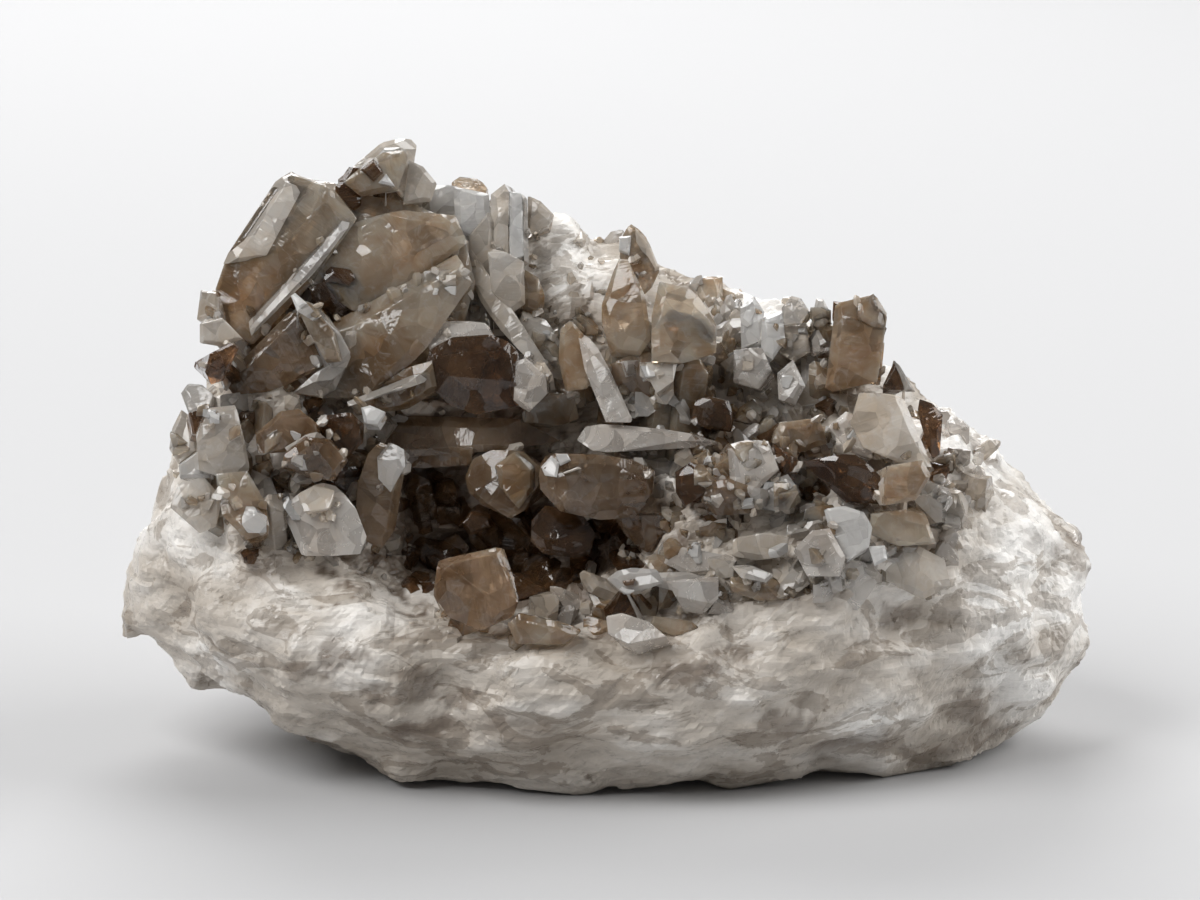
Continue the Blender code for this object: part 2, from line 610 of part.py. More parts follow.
def main():
    clear_scene()
    parts = new_collection("smoky_quartz_cluster")
    helpers = new_collection("clearances")
    block_mesh = loft_block()
    weather(block_mesh)
    block_tree = BVHTree.FromBMesh(block_mesh)
    block_room = object_of(inflated(block_mesh, GAP), "block_room", helpers)
    hide(block_room)
    object_of(block_mesh, "milky_quartz_block", parts)
    draws = random.Random(CRYSTAL_SEED)
    rooms = [block_room]
    for name, crystals in GROUPS.items():
        group, own_rooms = grow_group(name, crystals, block_tree, draws, parts, helpers)
        bpy.context.view_layer.update()
        near = [room for room in rooms if overlapping(room, group)]
        combined(group, near, "DIFFERENCE", name)
        keep_largest_body(group)
        rooms += own_rooms
    materials = {look: quartz_material(look) for look in LOOKS}
    for part in parts.objects:
        part.data.materials.clear()
        part.data.materials.append(materials[GROUP_LOOKS.get(part.name, "smoky")])


main()
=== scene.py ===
"""Looks of the smoky quartz cluster: crystals, druse, block, light and camera."""

import collections
import math
import random

import bmesh
import bpy
import numpy as np
from mathutils import Matrix, Vector, geometry, noise
from mathutils.bvhtree import BVHTree


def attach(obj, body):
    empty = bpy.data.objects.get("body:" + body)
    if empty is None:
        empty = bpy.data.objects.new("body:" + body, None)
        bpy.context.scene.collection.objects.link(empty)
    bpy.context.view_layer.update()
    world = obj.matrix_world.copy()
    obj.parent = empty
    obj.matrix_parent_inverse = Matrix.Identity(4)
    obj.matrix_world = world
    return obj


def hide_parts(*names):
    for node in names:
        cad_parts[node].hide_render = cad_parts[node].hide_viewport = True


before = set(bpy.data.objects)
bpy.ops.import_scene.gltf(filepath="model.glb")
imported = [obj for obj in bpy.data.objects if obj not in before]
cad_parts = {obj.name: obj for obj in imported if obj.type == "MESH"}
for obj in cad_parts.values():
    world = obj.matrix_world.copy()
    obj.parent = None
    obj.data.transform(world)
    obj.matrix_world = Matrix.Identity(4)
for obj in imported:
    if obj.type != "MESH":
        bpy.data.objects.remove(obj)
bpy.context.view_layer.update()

MM = 0.001

# The camera's view: places are given in millimetres across and up in it, from its middle
VIEW_DISTANCE = 800 * MM
VIEW_ELEVATION = math.radians(14)
VIEW_MIDDLE = Vector((0, 0, 45.7 * MM))
VIEW_WIDTH = 185.56 * MM
SENSOR = 36.0

TERMINATION_ANGLE = math.radians(51.8)
QUARTZ_IOR = 1.54
ROOT = 2.0 * MM
EDGE_WEAR = 0.12 * MM
SLAB_WEAR = 0.25 * MM
# A slab's sides close in towards the back, and its front edges are worn by these least and most amounts
SIDE_SLOPES = (-0.5, 0.12)
WORN_EDGES = (0.2, 2.2)
WORN_SLOPES = (0.8, 1.8)
# A slab this far off the block gets a stem
LOOSE_GAP = 1.0 * MM
LEAST_STEM = 0.8 * MM
STEM_ROOT = 3.0 * MM

FRACTURE_SIZE = 3.4 * MM
CRYSTAL_RELIEF = 0.25 * MM
GROWTH_LINES_PER_MM = 2.2
VEIL_COLOUR = (0.95, 0.92, 0.88)

BLOCK_CELL = 0.72 * MM
BLOCK_GRAIN = 0.4 * MM
BLOCK_TONES = (
    (0.0, (0.20, 0.15, 0.11)), (0.35, (0.40, 0.345, 0.285)), (0.62, (0.60, 0.545, 0.48)),
    (1.0, (0.95, 0.925, 0.885)),
)
PATCH_COLOUR = (0.66, 0.63, 0.60)
# Colour of the real stains, also used for the painted shade inside the hollow
STAIN_AND_SHADE_COLOUR = (0.13, 0.09, 0.06)
# Below this height, in millimetres, the block keeps its resting flat
LOW_PART = 1.5

# The surroundings are brightest towards this side
BRIGHT_SIDE = Vector((-0.25, 0.40, 0.85)).normalized()
LEAST_GLOW = 2.9
MOST_GLOW = 4.35

FLOOR_COLOUR = (0.50, 0.50, 0.505)
FLOOR_REACH = 30.0
FLOOR_GAP = 0.15 * MM

Crystal = collections.namedtuple(
    "Crystal", "foot tip out width thickness roll lean blunt aside view",
    defaults=(None, 0, 1.5, 0.25, 0, 0),
)

# A broad crystal or broken piece. Its front face is turned by tilt (to the right, up; degrees) and has
# this convex outline in the front view (across and up by turns); out is how far it stands out.
Slab = collections.namedtuple("Slab", "look tilt outline out thickness", defaults=(0, 8))

# The crystals of each group. Lengths are in millimetres.
GROUPS = {
    "left_druse": (
        Slab("pale", (-12, 10), (-62, 25, -59.6, 24.6, -58.6, 20, -60.5, 19.4, -62.6, 20.4)),
        Slab("pale", (4, -6), (-62, 19.4, -58.4, 20.4, -55, 17, -58.5, 15.8, -62, 16.4), 1),
        Slab("dark", (18, -5), (-61, 12, -60.2, 15, -57, 16.6, -55.6, 15.6, -58, 10.6, -60, 10)),
        Slab("clear", (-10, 20), (-65, 9, -64, 10.4, -61.5, 10.2, -59.8, 8.6, -60.4, 6.2, -63.8, 5.8)),
        Slab("pale", (-14, 8), (-67, 0.4, -66.6, 3.2, -65, 6.4, -63.2, 5, -62.6, 0, -65.4, -2.2)),
        Slab("dark", (10, 6), (-63.6, 5.8, -60.8, 6.6, -59.4, 5, -60, 2, -63, 2.6), 1.6),
        Slab("pale", (12, 2), (-60.4, 6.6, -56.4, 7, -55.6, 5, -54, -3, -57, -4.6, -62, -3, -62.4, 1.4), 2),
        Slab("clear", (-20, 22), (-65.4, -2, -62, 0.4, -60, -1.4, -60.6, -4.2, -65.2, -4.4), 2),
        Slab("pale", (-6, -6), (-65.4, -5.2, -61.4, -4, -58.4, -7.6, -59.4, -12, -62, -13, -66.6, -9), 1),
        Slab("smoky", (6, 8), (-59.6, -3.6, -54.4, -3.2, -51.6, -8, -51, -12.6, -55, -13.6, -58.6, -10), 2),
        Slab("clear", (-10, 24), (-54, -2.6, -51, -4, -49.4, -8, -52, -8.6, -54.6, -6), 2.4),
        Crystal((-53, -13), (-55.2, -7), 4, 5, roll=10),
        Crystal((-50, -14), (-51.0, -6), 4, 4.6, roll=20),
        Crystal((-57, -6), (-57.4, 4), -2, 7, 4.4, 6),
    ),
    "upper_left_blades": (
        Slab("smoky", (-6, 6), (-58.4, 19, -60, 25, -57.6, 31, -50.6, 41.4, -48, 43, -41.8, 41, -37.6, 35.6,
            -45, 25.2, -53.4, 16.4), 0.6, 10),
        Slab("pale", (-6, 6), (-58.6, 28.6, -57.6, 31, -50.6, 41.6, -48, 43.2, -42.4, 41.2, -45, 35.6,
            -52, 29.6), 1.6, 7),
        Slab("pale", (-30, 16), (-59.8, 25, -57.8, 31, -50.8, 41.8, -48.2, 43.4, -46.8, 41.4, -56.4, 27.4
            ), 1.6),
        Slab("clear", (18, -14), (-53.8, 16.8, -45, 25.6, -37.4, 35.8, -39.2, 35.4, -54.2, 18.4), 1),
        Slab("pale", (-4, 30), (-47.8, 43, -40, 41.6, -41, 38.8, -46.4, 38.8), 1),
        Slab("white", (-6, 10), (-45.8, 38.8, -42.8, 38.6, -43.8, 36.4), 1.6, 3),
        Slab("white", (-10, 14), (-41, 38.9, -37.3, 38, -38.3, 36), 2, 3),
        Slab("brown", (4, -4), (-58.6, 11, -53.4, 16.4, -48, 21.6, -45.4, 21, -41, 13.4, -50, 9, -57, 8.4)),
        Slab("dark", (2, -8), (-45, 25.2, -41.4, 28.4, -38.6, 28, -36.2, 24.6, -40.6, 20, -44, 22), 0.4),
        Slab("smoky", (3, 4), (-44.6, 25.6, -38.6, 35.4, -31, 37.4, -22.4, 36.6, -20.4, 32, -30, 25, -38, 21
            )),
        Slab("smoky", (-4, 2), (-44.6, 18, -22, 30.4, -19.6, 26, -28, 14, -34, 8, -42, 7.6, -49.6, 9), 0.8),
        Slab("clear", (0, 12), (-39.4, 8, -39, 6.6, -27, 10.4, -25.6, 12, -27.6, 12.8), 2, 5),
        Slab("clear", (-6, 26), (-50, 9, -38, 15.6, -39, 14, -42, 11.6), 1.8, 4),
        Slab("smoky", (-4, -10), (-40, 9, -31, 12.6, -26, 14, -25, 9, -30, 6, -38, 5), 0.4),
        Slab("smoky", (0, 0), (-58, 7, -59.6, 24, -50, 39, -40, 40, -28, 38, -21, 35, -19, 26, -24, 8, -40, 5
            ), -4, 7),
    ),
    "summit_crystals": (
        Slab("pale", (-10, 10), (-42, 41.2, -34.2, 47.8, -31.6, 48.4, -29, 48.3, -28.2, 47.4, -28.6, 44.6,
            -30, 40, -37, 39), 0, 7),
        Slab("smoky", (2, -4), (-40, 41.4, -37, 44, -33.6, 46.2, -30, 46.6, -29.6, 44.4, -31, 40, -37, 39
            ), 0.7),
        Slab("white", (-8, 12), (-34.6, 45.4, -33.4, 46.9, -30.8, 47, -32.9, 43.6), 1.4, 3),
        Slab("white", (-4, 20), (-34.4, 41.4, -33.1, 42.9, -31.6, 40.8), 1.4, 3),
        Slab("dark", (6, -6), (-37, 43.4, -35, 45, -33.4, 42.9, -35, 41.4), 1.1, 3),
        Slab("dark", (6, 0), (-41, 40.6, -38.8, 43.8, -37.2, 43.6, -36.8, 38, -38, 37, -41, 38.4), 1.2),
        Slab("pale", (4, 14), (-29.6, 45, -27, 43.8, -25, 41.4, -26, 38.6, -30.4, 38.2)),
        Crystal((-37.4, 27), (-33.3, 44.6), -7, 13.4, 9, 6, 0.8, 0.04, -0.06),
    ),
    "small_clear_point": (
        Slab("white", (-16, 18), (-47.9, 23.9, -47.2, 24.4, -45.4, 22.8, -46.9, 21.5), 0.6, 9),
        Slab("smoky", (-10, -4), (-47.4, 22.4, -45.2, 23, -41.6, 18.6, -40.4, 13.4, -42.4, 13.2), 0, 11),
        Slab("clear", (20, 6), (-45.6, 23.2, -43.6, 22.8, -41, 20.2, -38, 14.4, -40.6, 13), 0, 11),
    ),
    "right_tower": (
        Slab("smoky", (-8, 2), (36, 23.2, 41.6, 24.5, 42.6, 24.4, 44.6, 21.2, 43.4, 10.6, 36, 9, 34.4, 10
            ), -0.4),
        Slab("dark", (-16, 10), (36, 23.2, 40, 22.8, 40.2, 21, 37, 18.8, 35.8, 20.2), 0.8),
        Slab("smoky", (12, 20), (40, 22.8, 42.4, 24.4, 44.4, 21.2, 44, 19, 42.6, 19.2, 40, 20.6), 0.9),
        Slab("dark", (0, -20), (42.6, 19, 44.4, 18.8, 44, 17.6, 42.8, 17.6), 0.9, 4),
        Slab("smoky", (8, 0), (42.9, 17, 44.2, 16.6, 43.6, 10.6, 42.3, 10), 1),
    ),
    "pale_blade": (
        Slab("frosted", (-6, 8), (-4.8, 17.4, -4, 18.7, -1.4, 17.4, 0.2, 15.6, 5.2, 4.8, 5, 4.2, 0.6, 4.2,
            -1.8, 10), 0, 3),
    ),
    "centre_spires": (
        Slab("smoky", (-10, 6), (0.2, 24, 1, 27, 2.4, 30, 4, 30, 5, 28.6, 7, 24, 8, 17, 6, 14, 1.2, 14.4,
            0, 19), 0.6),
        Slab("smoky", (4, 8), (3, 31, 3.4, 33.6, 4.6, 35.3, 5.2, 35.2, 7.4, 33, 9.4, 28, 8, 25, 7, 24, 3.4, 26
            )),
        Slab("white", (-10, 4), (2.9, 30.6, 2.9, 33, 4.8, 33.2, 4.5, 30), 0.8, 3),
        Slab("pale", (16, 10), (5.4, 35, 7.4, 33, 9.4, 28, 8.4, 27.6, 5.6, 32.4), 0.8, 4),
        Slab("smoky", (6, 4), (8, 22, 9, 26.4, 12.6, 25.6, 14, 25.2, 15.6, 23.8, 18.6, 19, 18.6, 15, 14, 13.6,
            8, 14), 0.6),
        Slab("dark", (10, -6), (8.4, 19, 11, 22, 15, 21, 18, 18, 17.6, 15.6, 13.6, 17), 1, 4),
        Slab("brown", (0, -8), (-1, 12, 5, 15, 12.4, 15, 15, 12, 13.6, 6, 8, 4, 1, 5), 0.4),
        Slab("pale", (-6, 20), (7, 12, 9.6, 14.6, 12.4, 14.8, 11.6, 11, 8.6, 9), 1.4, 5),
        Slab("dark", (4, 6), (14, 5, 14.6, 7.4, 16.6, 8.4, 20, 7.6, 20.8, 4.6, 20.4, 2.7, 17, 3.2, 15, 3.6
            ), 2),
        Crystal((11, 5), (13.4, 22), 0, 11.5, 9, 18, blunt=0.12),
        Crystal((4, 5), (5.6, 22), 0, 9, roll=20),
    ),
    "centre_pale_crystals": (
        Slab("pale", (-16, 2), (-17.2, 39.6, -15, 41.3, -14.2, 40, -14.4, 29, -17.2, 28.4)),
        Slab("white", (-6, 4), (-14.2, 40.2, -12, 39.8, -11.7, 30, -14.2, 29.2), 0.9),
        Slab("clear", (16, 2), (-12, 40, -10.8, 39, -10.6, 29, -12, 28), 0.6),
        Slab("pale", (-8, 10), (-22, 30.6, -20, 31.4, -7, 12, -6.6, 10.4, -8.6, 10.8, -15, 18, -19.4, 24), 1),
        Slab("pale", (4, -4), (-17.6, 30.4, -14.4, 30.6, -11.4, 29, -11.2, 22.6, -13.6, 21, -17, 24.6), 0.4),
        Slab("white", (-4, 14), (-29.4, 40.2, -25, 41.4, -22, 41, -21, 35.8, -28, 36.4)),
        Slab("white", (4, 10), (-22.8, 41, -17, 39.8, -16.6, 32.6, -22.4, 33.6), 0.4),
        Crystal((-23, 24), (-22.6, 38.6), -4, 8, roll=12),
        Crystal((-18, 22), (-18, 38.6), -4, 8, roll=-8),
        Slab("pale", (6, 20), (-11.2, 39.6, -9, 38.6, -7, 36.6, -8.2, 34.6, -11.2, 33.6)),
        Slab("smoky", (10, 0), (-11.6, 28, -9.4, 26.6, -8.4, 24, -9, 20.4, -12, 21.6), 1),
        Slab("pale", (0, 0), (-12, 21.4, -8, 20, -5.6, 16, -6.4, 12.6, -9.4, 13.6, -13, 18.6), 0.6),
    ),
    "dark_crystal": (
        Slab("dark", (0, 4), (-27.4, 12.6, -26.4, 15.6, -22.6, 17.6, -17.4, 18, -15, 17.4, -12.2, 14.6,
            -11.4, 10, -13, 6.2, -18, 5, -23, 6.8, -26.4, 10)),
        Slab("frosted", (-4, 30), (-28, 18, -26.6, 20.6, -22, 20.8, -17, 20.2, -15.4, 17.2, -26.4, 15.4
            ), -0.6),
        Slab("white", (-6, 24), (-22.4, 18.8, -21, 20, -18.8, 20, -18.9, 18.2), 0.5, 3),
        Slab("frosted", (-6, -4), (-14.2, 9.8, -13.4, 13.6, -11.6, 14.2, -8.4, 11.4, -8.2, 8.6, -11, 5.8,
            -13.4, 7.2), 1.4),
        Slab("smoky", (-4, 6), (-6.6, 14, -6.2, 19, -4.6, 20.4, -2.6, 18.2, -0.6, 12, -2, 9.4, -5.4, 9), 1),
        Slab("smoky", (4, -10), (-12, 6, -8, 9, -4, 8.6, -3, 4.6, -8, 3, -12, 3.4)),
    ),
    "roof_crystal": (
        Slab("brown", (0, 8), (-37.4, 1.6, -37, 5, -25, 5.8, -13, 5.4, -8, 3.6, -5, 0.6, -20, -0.6, -31, -1.4
            )),
        Slab("brown", (-4, -26), (-34, -0.4, -31, -3.2, -28, -3.4, -20, -2.8, -19.6, 0, -30, 0.4), -0.4),
    ),
    "overhanging_crystals": (
        Slab("brown", (-4, -4), (-9.6, -4.6, -9, -2.4, -6.6, -0.4, -1, -0.6, 5, -1.6, 8.6, -3.4, 8.2, -7,
            5.6, -10.6, -1, -11, -6.4, -9.8, -9.4, -6.4), -0.6),
        Slab("pale", (4, 16), (-8.6, -1, -6.4, -0.2, -1, -0.2, 3, -0.8, 6.4, -2.6, 1, -4, -5, -4.4), 0.2),
        Slab("white", (-14, 10), (-9.2, -2.6, -7.6, -0.8, -6.3, -2, -6.7, -4.2, -8.6, -3.9), 0.9, 3),
        Slab("white", (8, 16), (-6.9, -0.5, -5, -0.5, -4.4, -1.6, -6.1, -2.4), 0.8, 3),
        Slab("frosted", (-4, -20), (-9.8, -5, -7, -6, -2, -9.4, -3, -10.6, -6.6, -10, -9.6, -6.8), 0.6),
        Slab("brown", (4, -10), (1.6, -10, 11, -9.6, 11.4, -12.6, 8, -16.6, 4, -14), 0.6),
    ),
    "overhanging_crystal_left": (
        Slab("brown", (-8, 0), (-21.2, -4, -20, -1, -17, 0.4, -12.6, 0.2, -9.6, -2.6, -9.8, -5.4, -12, -9.6,
            -14, -10.8, -18, -8.8, -20.4, -6.6), -0.6),
        Slab("smoky", (10, 4), (-16, -2, -13, 0, -9.8, -2.6, -9.8, -6, -12.4, -9.4, -15.4, -6), 0.2),
        Slab("clear", (-16, 20), (-20.6, -1.4, -18.4, 0.8, -15.6, 0.6, -17.4, -2.4, -19.6, -3), 0.6, 4),
    ),
    "hanging_crystal": (
        Slab("dark", (-6, -4), (-11, -14, -10.8, -11, -8.6, -8.6, -3, -9.6, -0.6, -13, -1.6, -16.4, -4, -17,
            -8.6, -16.4)),
        Slab("dark", (8, 4), (-5, -11, -1.4, -11, -0.8, -13, -3, -14.4, -5, -13), 0.6, 4),
    ),
    "grey_slab": (
        Slab("frosted", (0, 16), (-4, 1.6, -2.6, 3.6, 1, 4.4, 8, 4, 13, 3.2, 18, 1.6, 14, 0.2, 3, -0.4,
            -2, 0.2), -0.4),
        Slab("pale", (4, 4), (3, -0.2, 10, -0.4, 14.6, -1.8, 12.6, -6, 9.4, -4.6), 0.4),
    ),
    "pocket_pillar": (
        Slab("brown", (10, 0), (-37.6, -5, -36, -0.4, -34, 1.8, -31, 0.6, -29.4, -1.4, -31.2, -13, -33, -15.6,
            -37, -13.6, -38, -9)),
        Slab("clear", (-14, 14), (-34.6, -0.6, -33, 1.4, -30.6, 0.4, -30.4, -3, -32.4, -6.6, -34.4, -4.4
            ), 1, 5),
    ),
    "frosted_knob": (
        Slab("frosted", (-6, 4), (-48.6, -8, -47, -6.4, -44, -4.8, -40, -5.8, -37.5, -9, -36, -12.5,
            -37.5, -16.6, -46.6, -16.6, -48.6, -12)),
        Slab("pale", (-10, 22), (-47, -6.6, -44, -5, -41, -6, -42, -9, -46, -9.6), 1, 5),
    ),
    "left_pocket_crystals": (
        Slab("brown", (-6, 6), (-53.4, 3, -50, 6, -46.5, 6.4, -44, 4.4, -43.8, 2, -49, -0.6, -53, -0.8)),
        Slab("dark", (4, -4), (-43.8, 4.8, -42, 5.5, -38.5, 5.9, -36.4, 4, -36.6, 1, -39, -1.4, -41.6, -0.6,
            -43, 2), 0.6),
        Slab("brown", (0, -10), (-49, -1, -45, 2, -42, 1.6, -39, -2, -41, -5, -45, -4.6, -49.6, -3), 0.6),
        Slab("clear", (-16, 20), (-49, 0.6, -46, 2.4, -44, 3, -45.4, 0, -47.4, -1.8), 1.4, 4),
        Slab("white", (-8, 20), (-47, 9.2, -44.6, 9.2, -41.2, 6.5, -41, 5.3, -43.4, 5.2, -46.4, 7), 1, 4),
        Slab("white", (0, 10), (-37, 6.6, -35.5, 7, -33.2, 6, -34.5, 4.1, -36.5, 4.2), 0.6, 4),
        Slab("pale", (-6, 14), (-57, 8, -52, 10, -47, 9.4, -46, 7, -49, 4, -54, 3.4), -0.4),
    ),
    "right_ledge_crystals": (
        Slab("pale", (10, 12), (40, 9.4, 47.4, 8.4, 49, 4.6, 51.6, -2.8, 46, -2, 41, 0, 38.6, 4.6)),
        Slab("frosted", (-4, 34), (37.4, 11.4, 39, 11.8, 45, 9.8, 47.8, 8.4, 47, 7.4, 42, 8.4, 38, 10), 1),
        Slab("frosted", (-4, 14), (35, 3.6, 38, 6.2, 42, 4.4, 45, 2, 46.4, -1, 43, -1.6, 38, 0), 1),
        Slab("smoky", (6, -8), (44.6, -2.4, 50, -1.4, 51.4, -4, 49, -8, 44, -9), 1),
        Slab("dark", (0, -10), (31, -1.6, 36, -0.6, 40, -0.8, 42.6, -3, 45.6, -6.4, 44, -8.8, 38, -8.4, 34, -5
            ), 0.4),
        Slab("pale", (-4, 20), (30, 7.2, 37, 8.2, 38.4, 6.6, 33, 5, 30, 5.4), 1),
        Crystal((46, -2), (43.6, 6), -2, 9.4, 5, 6, blunt=0.1),
    ),
    "rough_ledge_crystals": (
        Slab("pale", (-6, 16), (21, 6.6, 27, 8.6, 29.4, 6, 26, 2.4, 21.6, 2.4)),
        Slab("smoky", (6, 2), (28, 4.4, 34, 5.2, 35.4, 1, 30, -0.8, 26.6, 1)),
        Slab("frosted", (-4, 8), (19.6, 0.4, 26, 1.2, 27.6, -3, 24, -6.4, 20, -5.4)),
        Slab("dark", (8, -4), (26.8, 0.9, 31, -1.8, 30.2, -4.8, 27.8, -3.4), 1),
        Slab("dark", (-4, 4), (11.6, -3.4, 14, -1.8, 16.8, -3.2, 17.4, -6, 13, -8.8, 11.7, -6.6), 1),
        Slab("brown", (0, -6), (17, -5, 20, -4.6, 25, -6.4, 24.4, -10, 18, -10.4, 15.6, -8)),
        Slab("clear", (-10, 14), (24, -5.6, 29, -3.6, 31, -6.4, 28, -9.4, 24.4, -9)),
        Slab("dark", (6, -6), (31, -4.4, 34.4, -4.2, 36.6, -7, 33, -8.8, 30.6, -7), 0.6),
        Slab("pale", (-4, 10), (18, 2.4, 24, 3, 25, 0.6, 19, -0.8, 15.4, 0.6), 0.6),
        Crystal((33, -3), (33, 5), 3, 7.4, roll=8),
        Crystal((21, -6), (21, 1.8), 3, 7.2, roll=22),
    ),
    "slim_dark_crystal_upper": (
        Slab("dark", (4, 6), (43.8, 10.2, 45.6, 14, 47, 11.6, 47.4, 9.4, 45, 9.4)),
        Slab("clear", (16, 14), (45.4, 14.2, 46.4, 13.4, 49, 9, 47.6, 9), 0.4, 4),
    ),
    "slim_dark_crystal_lower": (
        Slab("dark", (2, 0), (49, 5.6, 49.4, 8.2, 51.4, 7.4, 53.2, 5.4, 53, 2, 52.8, -0.6, 51.6, -1.4,
            50.2, 1.4)),
    ),
    "right_crest_crystals": (
        Slab("clear", (-6, 10), (28, 22, 29.6, 23.9, 31, 23.6, 32.3, 21.6, 31, 19.4, 28.6, 19.2)),
        Slab("clear", (0, 8), (33, 21.6, 33.4, 23.5, 34.6, 23.4, 35.5, 21.6, 34.6, 19.6, 33, 19.6)),
        Slab("frosted", (-14, 4), (32, 17, 34.4, 20.8, 35.4, 20, 34.2, 15.2, 32.6, 14.4), 0.8),
        Slab("white", (-4, 14), (21.6, 22.6, 23.8, 24.4, 25.6, 21.6, 24.8, 17, 21.8, 15.6)),
        Slab("white", (8, 6), (25, 20.6, 28.4, 22, 28.8, 17, 26.8, 14, 24.8, 15.4), 0.5),
        Slab("frosted", (-6, 10), (27.2, 12, 29.8, 14.2, 31.8, 10, 30.2, 7, 27.4, 8), 1),
        Slab("clear", (6, 10), (31, 14.4, 33.2, 15.2, 34.8, 12, 33.4, 9, 31.2, 9.8), 0.8),
        Slab("pale", (0, -4), (28, 19.4, 32, 19.6, 32.6, 15, 30, 13.4, 27.6, 15)),
        Slab("frosted", (-6, 6), (20.6, 15.6, 25, 16, 26.6, 12.4, 24.4, 9.4, 20.6, 10.4), 0.4),
    ),
    "front_right_crystals": (
        Slab("white", (-6, 12), (34.4, -9, 38, -8.4, 41, -9.4, 42.2, -11.6, 41.6, -15, 38.4, -17, 35.6, -13.4
            )),
        Slab("frosted", (-4, 2), (29.8, -15.4, 32.6, -12.4, 35.6, -12, 38, -16.4, 37, -19.6, 32, -19.6), 0.4),
        Slab("smoky", (4, -14), (41.8, -10, 46, -9.4, 50.6, -10.4, 52, -14.6, 46, -15, 42, -13.4), 0.4),
        Slab("white", (-6, 14), (41.4, -14.8, 44, -14.6, 44.4, -17, 42.4, -18), 1.2, 4),
        Slab("pale", (4, 2), (43.6, -16, 49, -14.6, 53.6, -17, 54.6, -21, 50, -23.4, 44.4, -20.6), 0.6),
        Slab("frosted", (0, -8), (37.4, -17, 41, -17.6, 43, -21, 40, -25, 34.6, -23.6, 33.4, -20), 0.2),
        Slab("pale", (8, 10), (45, -8.6, 50, -8.2, 54, -11.4, 56.6, -15, 53.4, -14.8, 47, -12), -0.2),
    ),
    "front_ledge_crystals": (
        Slab("frosted", (-6, 24), (12, -11.6, 15, -10.6, 20, -11.6, 20.4, -14.6, 15, -15.4, 11, -14.6)),
        Slab("frosted", (-2, 4), (10.6, -14.6, 19, -16, 19.6, -19, 14, -19.6, 9.6, -17.4)),
        Slab("pale", (2, 16), (20.6, -13.6, 26, -12.6, 29.4, -13.4, 29, -16.4, 24, -17, 20.4, -16.4), 0.4),
        Slab("clear", (-4, 20), (20, -17.6, 23, -17.4, 27, -19, 25.6, -20.4, 21.6, -19.6), 0.8, 4),
        Slab("smoky", (0, -6), (20, -19.4, 30.6, -20, 30, -23.4, 24, -23.4, 20, -22)),
    ),
    "front_knob": (
        Slab("brown", (4, 6), (-25.4, -17.6, -23.6, -16.2, -16.4, -14.6, -14.8, -15, -13.2, -20, -12.4, -23.4,
            -13.4, -26, -18, -28, -23, -26, -26, -22), -0.6),
        Slab("pale", (-10, 10), (-18.8, -16, -16.4, -15, -15.2, -17.4, -17, -20, -18.8, -18.6), 0.2, 4),
        Slab("brown", (12, 0), (-16, -15.6, -14.8, -15.2, -13.2, -20, -12.4, -23.4, -15, -22.6), 0.4, 5),
        Slab("brown", (0, 14), (-33.6, -13.4, -31, -13, -25, -15, -22, -17.6, -27, -18.6, -33.6, -16.4), -2),
    ),
    "clear_lip_point": (
        Slab("clear", (-10, 6), (1, -19.8, 2.6, -18.6, 4.6, -18.1, 9, -18.4, 10, -20.4, 6, -22, 4, -22.5
            ), 0, 5),
        Slab("dark", (0, 0), (3.4, -20.2, 5.6, -19.9, 5.2, -20.9, 3.8, -21), 0.6, 2),
        Slab("white", (0, -20), (3, -21.6, 5.4, -21.9, 4.6, -22.5, 3.8, -22.4), 0.6, 2),
        Slab("clear", (-6, 10), (7.4, -18.8, 13, -18.6, 16.6, -19.4, 12, -22, 8.6, -21)),
    ),
    "pale_lip_crystals": (
        Slab("frosted", (-8, 22), (0.6, -25, 2.6, -24.6, 7, -26, 10, -28.4, 4, -29.6, 0.8, -28)),
        Slab("smoky", (-4, -4), (-14.6, -27, -12.4, -25, -6, -26.4, -2.6, -28.4, -6, -30.6, -13, -30.4)),
        Slab("clear", (-4, 26), (-12.6, -24.9, -8, -25.6, -4.2, -27, -4.6, -27.6, -9, -26.6), 0.8, 4),
        Slab("smoky", (4, -6), (8, -25.6, 14, -26.4, 16, -28, 12, -29, 7.6, -27.4)),
        Slab("pale", (-4, 20), (-1.6, -24.8, 0.8, -23.6, 3, -24.6, 0.6, -26.6), 0.4, 4),
    ),
    "pocket_crust": (
        Slab("dark", (4, 10), (-21.4, -11.4, -19.8, -9.4, -17, -10, -16.6, -12, -20, -13.2)),
        Slab("dark", (-6, 20), (-5, -23.4, -2.4, -21.8, -1.8, -22.4, -4.6, -24), 0, 4),
        Crystal((-22, -19), (-30.6, -14), -2, 6.8, roll=10),
        Crystal((-17, -13), (-20.6, -9), 3, 5.4, roll=8),
        Crystal((-27.4, -8), (-28.4, -3), 2, 5.6, roll=20),
        Crystal((-14, -16), (-13, -11), 3, 6, roll=12),
        Crystal((-10, -19), (-9.4, -15.4), 2, 6),
        Crystal((-6, -21), (-5, -17.6), 2, 6, roll=16),
        Crystal((-23, -16), (-22, -12), 2, 6, roll=14),
        Crystal((-8, -20), (-7, -16), 1, 6),
    ),
    "back_crest_crystals": (
        Crystal((26, 16), (28, 27), 7, 6.6, roll=10, view=180),
        Crystal((22, 18), (22, 30), 6, 7, roll=20, view=180),
        Crystal((17, 17), (15.4, 27), 8, 6.4, view=180),
        Crystal((24, 11), (25, 19), 9, 6.4, roll=24, view=180),
        Crystal((19, 12), (18.4, 20), 9, 6.4, roll=12, view=180),
    ),
}

# Looks of each group's crystals that are not given as slabs, repeated along the group
GROUP_LOOKS = {
    "centre_pale_crystals": ("pale",),
    "left_druse": ("pale", "smoky"),
    "pocket_crust": ("dark",),
    "back_crest_crystals": ("pale", "smoky", "clear", "pale", "smoky"),
}

